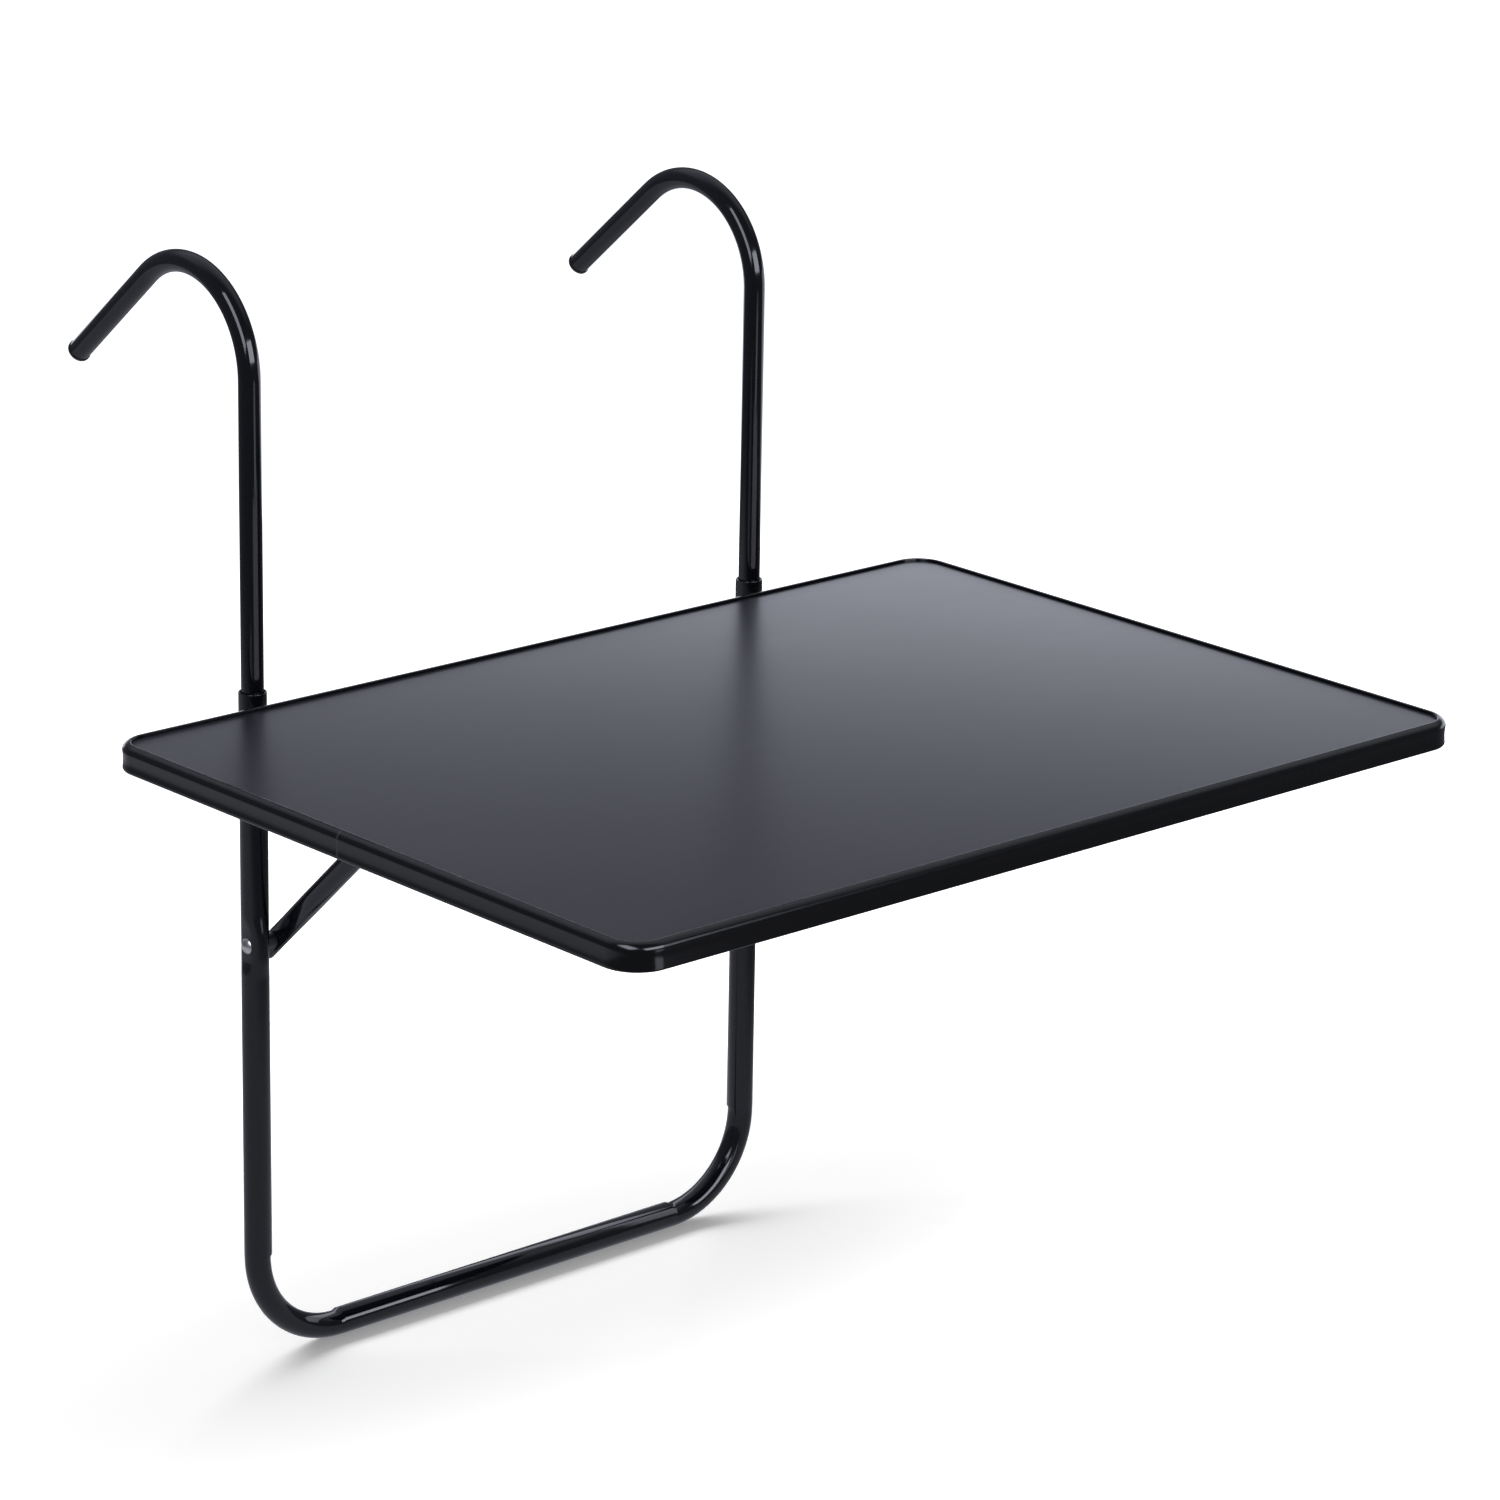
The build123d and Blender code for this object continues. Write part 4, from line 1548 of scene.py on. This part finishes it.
@dataclass
class WoodScrews:
    """The pan-head screws under the board."""

    head_radius: float = 0.0035
    head_height: float = 0.0022
    shank_radius: float = 0.0017
    slot_length: float = 0.0042
    slot_width: float = 0.0009
    slot_depth: float = 0.0013
    cone: float = 0.003
    crown_share: float = 0.75
    crown_steps: int = 8

    def build(self, dresser: Dresser) -> None:
        """Turns one screw, copies it to every place, and joins each group into one piece.

        Args:
            dresser: Gives the finish.
        """
        for node in ("bracket_screws", "catch_screws"):
            low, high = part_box(node)
            inset = Vector((self.head_radius, self.head_radius, 0))
            first = low + inset
            last = high - inset
            screw = self._screw(f"dressed_{node}", Vector((first.x, first.y, low.z)), high.z - low.z)
            steps = [(last.x - first.x, 0), (0, last.y - first.y), (last.x - first.x, last.y - first.y)]
            copies = [Bench.copy(screw, f"{node}_copy", Vector((x, y, 0))) for x, y in steps]
            Bench.pick(screw)
            for copy in copies:
                copy.select_set(True)
            bpy.ops.object.join()
            dresser.dress(screw, Slot.STEEL, Body.TABLE.value, node)

    def _screw(self, name: str, foot: Vector, length: float) -> bpy.types.Object:
        """Turns a screw and cuts a cross recess into its head.

        Args:
            name: The piece's name.
            foot: The middle of the head's underside.
            length: The screw's length.

        Returns:
            The screw.
        """
        rise = self.head_height * self.crown_share
        turns = [math.pi / 2 * step / self.crown_steps for step in range(self.crown_steps + 1)]
        crown = [(rise * (1 - math.cos(turn)), self.head_radius * math.sin(turn)) for turn in turns]
        section = [
            *crown,
            (self.head_height, self.head_radius),
            (self.head_height, self.shank_radius),
            (length - self.cone, self.shank_radius),
            (length, 0),
        ]
        screw = Lathe.turn(name, section, foot, Z_AXIS, X_AXIS)
        for size in ((self.slot_length, self.slot_width), (self.slot_width, self.slot_length)):
            Bench.clear()
            bpy.ops.mesh.primitive_cube_add(size=1, location=foot, scale=(*size, 2 * self.slot_depth))
            cutter = Bench.open("recess_cutter")
            bpy.ops.object.mode_set(mode="OBJECT")
            Bench.modify(screw, "BOOLEAN", object=cutter, operation="DIFFERENCE", solver="EXACT")
            bpy.data.objects.remove(cutter)
        return screw


@dataclass
class PressedParts:
    """Lugs, brackets, nuts, catches and glides: copies of the CAD shapes with rounded edges."""

    round_edge: float = 0.0003
    round_steps: int = 3
    edge_angle: float = math.radians(35)
    flat_angle: float = math.radians(0.5)

    def build(self, dresser: Dresser) -> None:
        """Builds and dresses every piece.

        Args:
            dresser: Gives the finishes.
        """
        for side in Side:
            for node, slot, body in (
                ("hinge_lug", Slot.PAINT, Body.FRAME.value),
                ("clamp_nut", Slot.PAINT, Body.FRAME.value),
                ("hinge_bracket", Slot.PAINT, Body.TABLE.value),
                ("catch", Slot.PLASTIC, Body.TABLE.value),
                ("hook_glide", Slot.PLASTIC, side.of("glide")),
            ):
                piece = self._rounded(side.of(node))
                dresser.dress(piece, slot, body, side.of(node))

    def _rounded(self, node: str) -> bpy.types.Object:
        """Copies a CAD node, merges its triangles into plain faces and rounds its edges.

        Args:
            node: The node.

        Returns:
            The new piece.
        """
        Bench.pick(frame["nodes"][node])
        bpy.ops.object.duplicate(linked=False)
        piece = bpy.context.object
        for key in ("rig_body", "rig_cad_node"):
            del piece[key]
        piece.parent = None
        piece.name = f"rounded_{node}"
        piece.data.name = piece.name
        bpy.ops.object.mode_set(mode="EDIT")
        Bench.merge()
        bpy.ops.mesh.dissolve_limited(angle_limit=self.flat_angle)
        bpy.ops.object.mode_set(mode="OBJECT")
        Bench.modify(
            piece,
            "BEVEL",
            width=self.round_edge,
            segments=self.round_steps,
            limit_method="ANGLE",
            angle_limit=self.edge_angle,
            use_clamp_overlap=True,
        )
        bpy.ops.object.shade_smooth_by_angle(angle=Bench.smooth_angle)
        return piece


@dataclass
class WeldBeads:
    """Painted weld beads where the hinge lugs meet the uprights."""

    bead_radius: float = 0.0013
    segments: int = 16
    ripple: float = 0.16
    ripples: int = 11
    rings_per_ripple: int = 3
    end_share: float = 0.45
    end_slope: float = 4.0
    sink: float = 0.0003

    def build(self, dresser: Dresser) -> None:
        """Builds one bead on each side of each lug.

        Args:
            dresser: Gives the finish.
        """
        upright_radius = UFrame().tube_radius
        low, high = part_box(Side.RIGHT.of("hinge_lug"))
        axis = middle(Side.RIGHT.of("hook_glide"))
        lug_half = (high.x - low.x) / 2
        front_y = axis.y - math.sqrt(upright_radius**2 - lug_half**2) + self.sink
        first = self._bead(Vector((low.x - self.sink, front_y, low.z)), high.z - low.z)
        across = Vector((high.x - low.x + 2 * self.sink, 0, 0))
        over = Vector((-2 * axis.x, 0, 0))
        beads = [first]
        for number, step in enumerate((across, over, over + across), start=2):
            beads.append(Bench.copy(first, f"weld_bead_{number}", step))
        for bead in beads:
            dresser.dress(bead, Slot.PAINT, Body.FRAME.value)

    def _bead(self, foot: Vector, height: float) -> bpy.types.Object:
        """Draws a rippled bead upward.

        Args:
            foot: Its lower end.
            height: Its length.

        Returns:
            The bead.
        """
        rings = self.ripples * self.rings_per_ripple
        run = TubeRun("weld_bead_1", self.bead_radius, foot, self.segments)
        last = self.end_share
        run.squeeze((last, last, 1))
        run.cap()
        for ring in range(1, rings + 1):
            share = ring / rings
            wave = math.cos(2 * math.pi * share * self.ripples)
            ends = min(1.0, self.end_share + self.end_slope * min(share, 1 - share))
            size = ends * (1 - self.ripple * (1 + wave) / 2)
            run.go_to(foot + Vector((0, 0, height * share)))
            run.squeeze((size / last, size / last, 1))
            last = size
        run.cap()
        return run.finish(0)


@dataclass(frozen=True)
class SoftBox:
    """A soft box, placed as the camera's operator would describe it."""

    name: str
    turn: float
    rise: float
    distance: float
    width: float
    height: float
    brightness: float
    tilt: float = 0.0


@dataclass
class Studio:
    """The floor, the light and the camera."""

    floor_size: float = 60.0
    floor_drop: float = 0.0002
    floor_colour: float = 0.95
    # floor_glow, glow_edge, glow_stretch and near_glow shape a painted glow that only the camera sees; away
    # from the bottom bar it paints over the table's shadow on the floor.
    floor_glow: float = 1.0
    glow_edge: tuple = (0.06, 0.4)
    glow_stretch: tuple = (0.3, 1, 1)
    near_glow: float = 0.22
    # Painted pool of light that polished surfaces see on the floor in place of its real shading: bright
    # round pool_middle, dim beyond pool_edge.
    painted_pool_light: float = 0.5
    painted_light_beyond_pool: float = 0.14
    pool_middle: tuple = (-0.45, 0.3, 0.0)
    pool_edge: tuple = (0.75, 1.2)
    cool: tuple = (0.92, 0.95, 1.08)
    wall_brightness: float = 0.6
    wall_edge: tuple = (0.4, 0.7)
    wall_side_edge: tuple = (-0.2, 0.3)
    room_brightness: float = 0.15
    ambient: float = 0.3
    boxes: tuple = (
        SoftBox("over_camera", -18, 33, 2.2, 0.92, 2.0, 5.5, 40),
        SoftBox("right_bank", 46, 15, 3.0, 2.7, 1.1, 7.0),
        SoftBox("low_strip", 46, -21, 1.4, 0.4, 0.35, 1.5),
    )
    back_wall_distance: float = 1.6
    back_wall_rise: float = 2.6
    back_wall_size: tuple = (5.0, 1.4)
    back_wall_brightness: float = 5.0
    card_turn: float = 168.0
    card_distance: float = 0.75
    card_width: float = 2.6
    card_below: float = 0.1
    card_above: float = 0.2
    card_brightness: float = 1.65
    lens: float = 131.93
    sensor: float = 36.0
    sight: float = 100.0
    camera_place: tuple = (-1.9231, -2.3824, 0.6623)
    yaw: float = 42.206
    pitch: float = 17.573
    roll: float = 1.051

    def build(self) -> None:
        """Sets everything up."""
        self._floor()
        self._world()
        self._lamps()
        self._camera()
        bpy.context.scene.view_settings.view_transform = "Standard"

    def _toward(self, turn: float) -> Vector:
        """A level direction from the object.

        Args:
            turn: Degrees round from the camera, to the right of someone who faces it from the object.

        Returns:
            The unit vector.
        """
        angle = math.radians(self.yaw - turn)
        return Vector((-math.sin(angle), -math.cos(angle), 0))

    @staticmethod
    def _mirrored(shader: Shader, rays: bpy.types.Node) -> Value:
        """1 for the rays that polished and clear surfaces send out, otherwise 0.

        Args:
            shader: The shader.
            rays: Its Light Path node.

        Returns:
            The sum of the two kinds.
        """
        glossy = Value(shader, rays.outputs["Is Glossy Ray"])
        return glossy + Value(shader, rays.outputs["Is Transmission Ray"])

    def _cooled(self, brightness: float) -> tuple:
        """A brightness as the slightly cool colour of the studio's lamps."""
        return tuple(brightness * part for part in self.cool)

    def _floor(self) -> None:
        """Lays a white floor under the frame's bottom bar. Camera rays see an added painted glow on it: weak
        next to the bar, where the bar's shadow shows, and full further out, where it paints over the table's
        shadow. Polished surfaces see a painted pool of light on it in place of its shading.
        """
        low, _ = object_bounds()
        Bench.clear()
        bpy.ops.mesh.primitive_plane_add(size=self.floor_size, location=(0, 0, low.z - self.floor_drop))
        floor = bpy.context.object
        floor.name = "floor"
        floor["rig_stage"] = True
        shader = Shader("white_floor")
        rays = shader.node("ShaderNodeLightPath", {}, {})
        shader.set(Base_Color=(self.floor_colour,) * 3 + (1,), Roughness=1.0, Specular_IOR_Level=0.0)
        # Painted glow for camera rays: weak near the bottom bar so that its contact shadow shows, full
        # further out, where it paints over the table's shadow on the floor.
        away = shader.distance((0, middle("u_frame").y, 0), self.glow_stretch)
        glow = self.near_glow + (1 - self.near_glow) * away.above(*self.glow_edge)
        camera = Value(shader, rays.outputs["Is Camera Ray"])
        shader.set(Emission_Strength=self.floor_glow)
        shader.set(Emission_Color=shader.blend(camera * glow, (0, 0, 0), (1, 1, 1)))
        # Painted pool of light: polished surfaces see this emission on the floor, bright near the frame and
        # dim further out, in place of the floor's shading.
        beyond_painted_pool = shader.distance(self.pool_middle).above(*self.pool_edge)
        pool = shader.blend(beyond_painted_pool, self._cooled(self.painted_pool_light), self._cooled(self.painted_light_beyond_pool))
        image = shader.node("ShaderNodeEmission", {}, {"Color": pool, "Strength": 1.0})
        sockets = {0: self._mirrored(shader, rays), 1: shader.surface.outputs[0], 2: image.outputs[0]}
        both = shader.node("ShaderNodeMixShader", {}, sockets)
        shader.feed(shader.output.inputs["Surface"], both.outputs[0])
        floor.data.materials.append(shader.material)

    def _world(self) -> None:
        """Makes a white surround; polished surfaces see its bright wall and the dim room in front of it."""
        world = bpy.data.worlds.new("white_studio")
        bpy.context.scene.world = world
        world.use_nodes = True
        shader = WorldShader(world)
        rays = shader.node("ShaderNodeLightPath", {}, {})
        camera = Value(shader, rays.outputs["Is Camera Ray"])
        height = Value(shader, shader.node("ShaderNodeSeparateXYZ", {}, {0: shader.place}).outputs["Z"])
        sockets = {0: shader.place, 1: self._toward(180)}
        ahead = shader.node("ShaderNodeVectorMath", {"operation": "DOT_PRODUCT"}, sockets)
        beyond = Value(shader, ahead.outputs["Value"]).above(*self.wall_side_edge)
        wall = height.above(*self.wall_edge) * beyond
        seen = self.room_brightness + (self.wall_brightness - self.room_brightness) * wall
        mirrored = self._mirrored(shader, rays)
        level = self.ambient + mirrored * (seen - self.ambient)
        shader.feed(shader.surface.inputs["Strength"], level + camera * (1 - level))
        shader.feed(shader.surface.inputs["Color"], shader.blend(mirrored, (1, 1, 1), self.cool))

    def _lamps(self) -> None:
        """Hangs the soft boxes and stands a white card behind the table."""
        rail = Vector((0, middle("u_frame").y, 0))
        for box in self.boxes:
            rise = math.radians(box.rise)
            way = self._toward(box.turn) * math.cos(rise) + Z_AXIS * math.sin(rise)
            place = rail + way * box.distance
            lamp = self._hang(box.name, place, rail, (box.width, box.height), box.brightness, box.tilt)
            lamp.visible_diffuse = False
            lamp.data.color = self.cool
        top = middle("board") + Vector((0, 0, (self.card_above - self.card_below) / 2))
        place = top + self._toward(self.card_turn) * self.card_distance
        size = (self.card_width, self.card_above + self.card_below)
        card = self._hang("card", place, top, size, self.card_brightness)
        card.visible_diffuse = False
        card.data.color = self.cool
        low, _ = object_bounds()
        foot = Vector((0, rail.y, low.z + self.back_wall_size[1] / 2 + self.back_wall_rise / 2))
        place = foot + Vector((0, self.back_wall_distance, 0))
        wall = self._hang("back_wall", place, foot, self.back_wall_size, self.back_wall_brightness)
        wall.visible_glossy = False

    @staticmethod
    def _hang(
        name: str, place: Vector, aim: Vector, size: tuple, brightness: float, tilt: float = 0.0
    ) -> bpy.types.Object:
        """Hangs one flat lamp.

        Args:
            name: Its name.
            place: Where it hangs.
            aim: What it faces.
            size: Its width and height.
            brightness: Its brightness, where 1 is white.
            tilt: Its turn about its own axis in degrees.

        Returns:
            The lamp.
        """
        Bench.clear()
        bpy.ops.object.light_add(type="AREA", location=place)
        lamp = bpy.context.object
        lamp.name = f"lamp_{name}"
        lamp.data.shape = "RECTANGLE"
        lamp.data.size, lamp.data.size_y = size
        lamp.data.energy = brightness * math.pi * size[0] * size[1]
        facing = (aim - place).to_track_quat("-Z", "Y").to_matrix()
        lamp.rotation_euler = (facing @ Matrix.Rotation(math.radians(tilt), 3, "Z")).to_euler()
        return lamp

    def _camera(self) -> None:
        """Places the camera at the photograph's point of view."""
        yaw, pitch, roll = (math.radians(angle) for angle in (self.yaw, self.pitch, self.roll))
        ahead = Vector((math.sin(yaw) * math.cos(pitch), math.cos(yaw) * math.cos(pitch), -math.sin(pitch)))
        level = Vector((math.cos(yaw), -math.sin(yaw), 0))
        up = level.cross(ahead)
        right = level * math.cos(roll) + up * math.sin(roll)
        top = up * math.cos(roll) - level * math.sin(roll)
        Bench.clear()
        bpy.ops.object.camera_add(location=self.camera_place)
        camera = bpy.context.object
        camera.name = "camera"
        camera.rotation_euler = Matrix((right, top, -ahead)).transposed().to_euler()
        camera.data.lens = self.lens
        camera.data.sensor_width = self.sensor
        camera.data.clip_end = self.sight
        bpy.context.scene.camera = camera


def main() -> None:
    """Builds every piece in order and sets the stage."""
    logging.basicConfig(level=logging.INFO, format="%(name)s: %(message)s")
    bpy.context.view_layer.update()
    dresser = Dresser()
    tubes = (UFrame(), Hooks(), Brace())
    fittings = (RivetsAndWashers(), Clamps(), WoodScrews(), PressedParts(), WeldBeads())
    for part in (*tubes, TableTop(), *fittings):
        part.build(dresser)
    Bench.clear()
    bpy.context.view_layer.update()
    Studio().build()


if __name__ == "__main__":
    main()
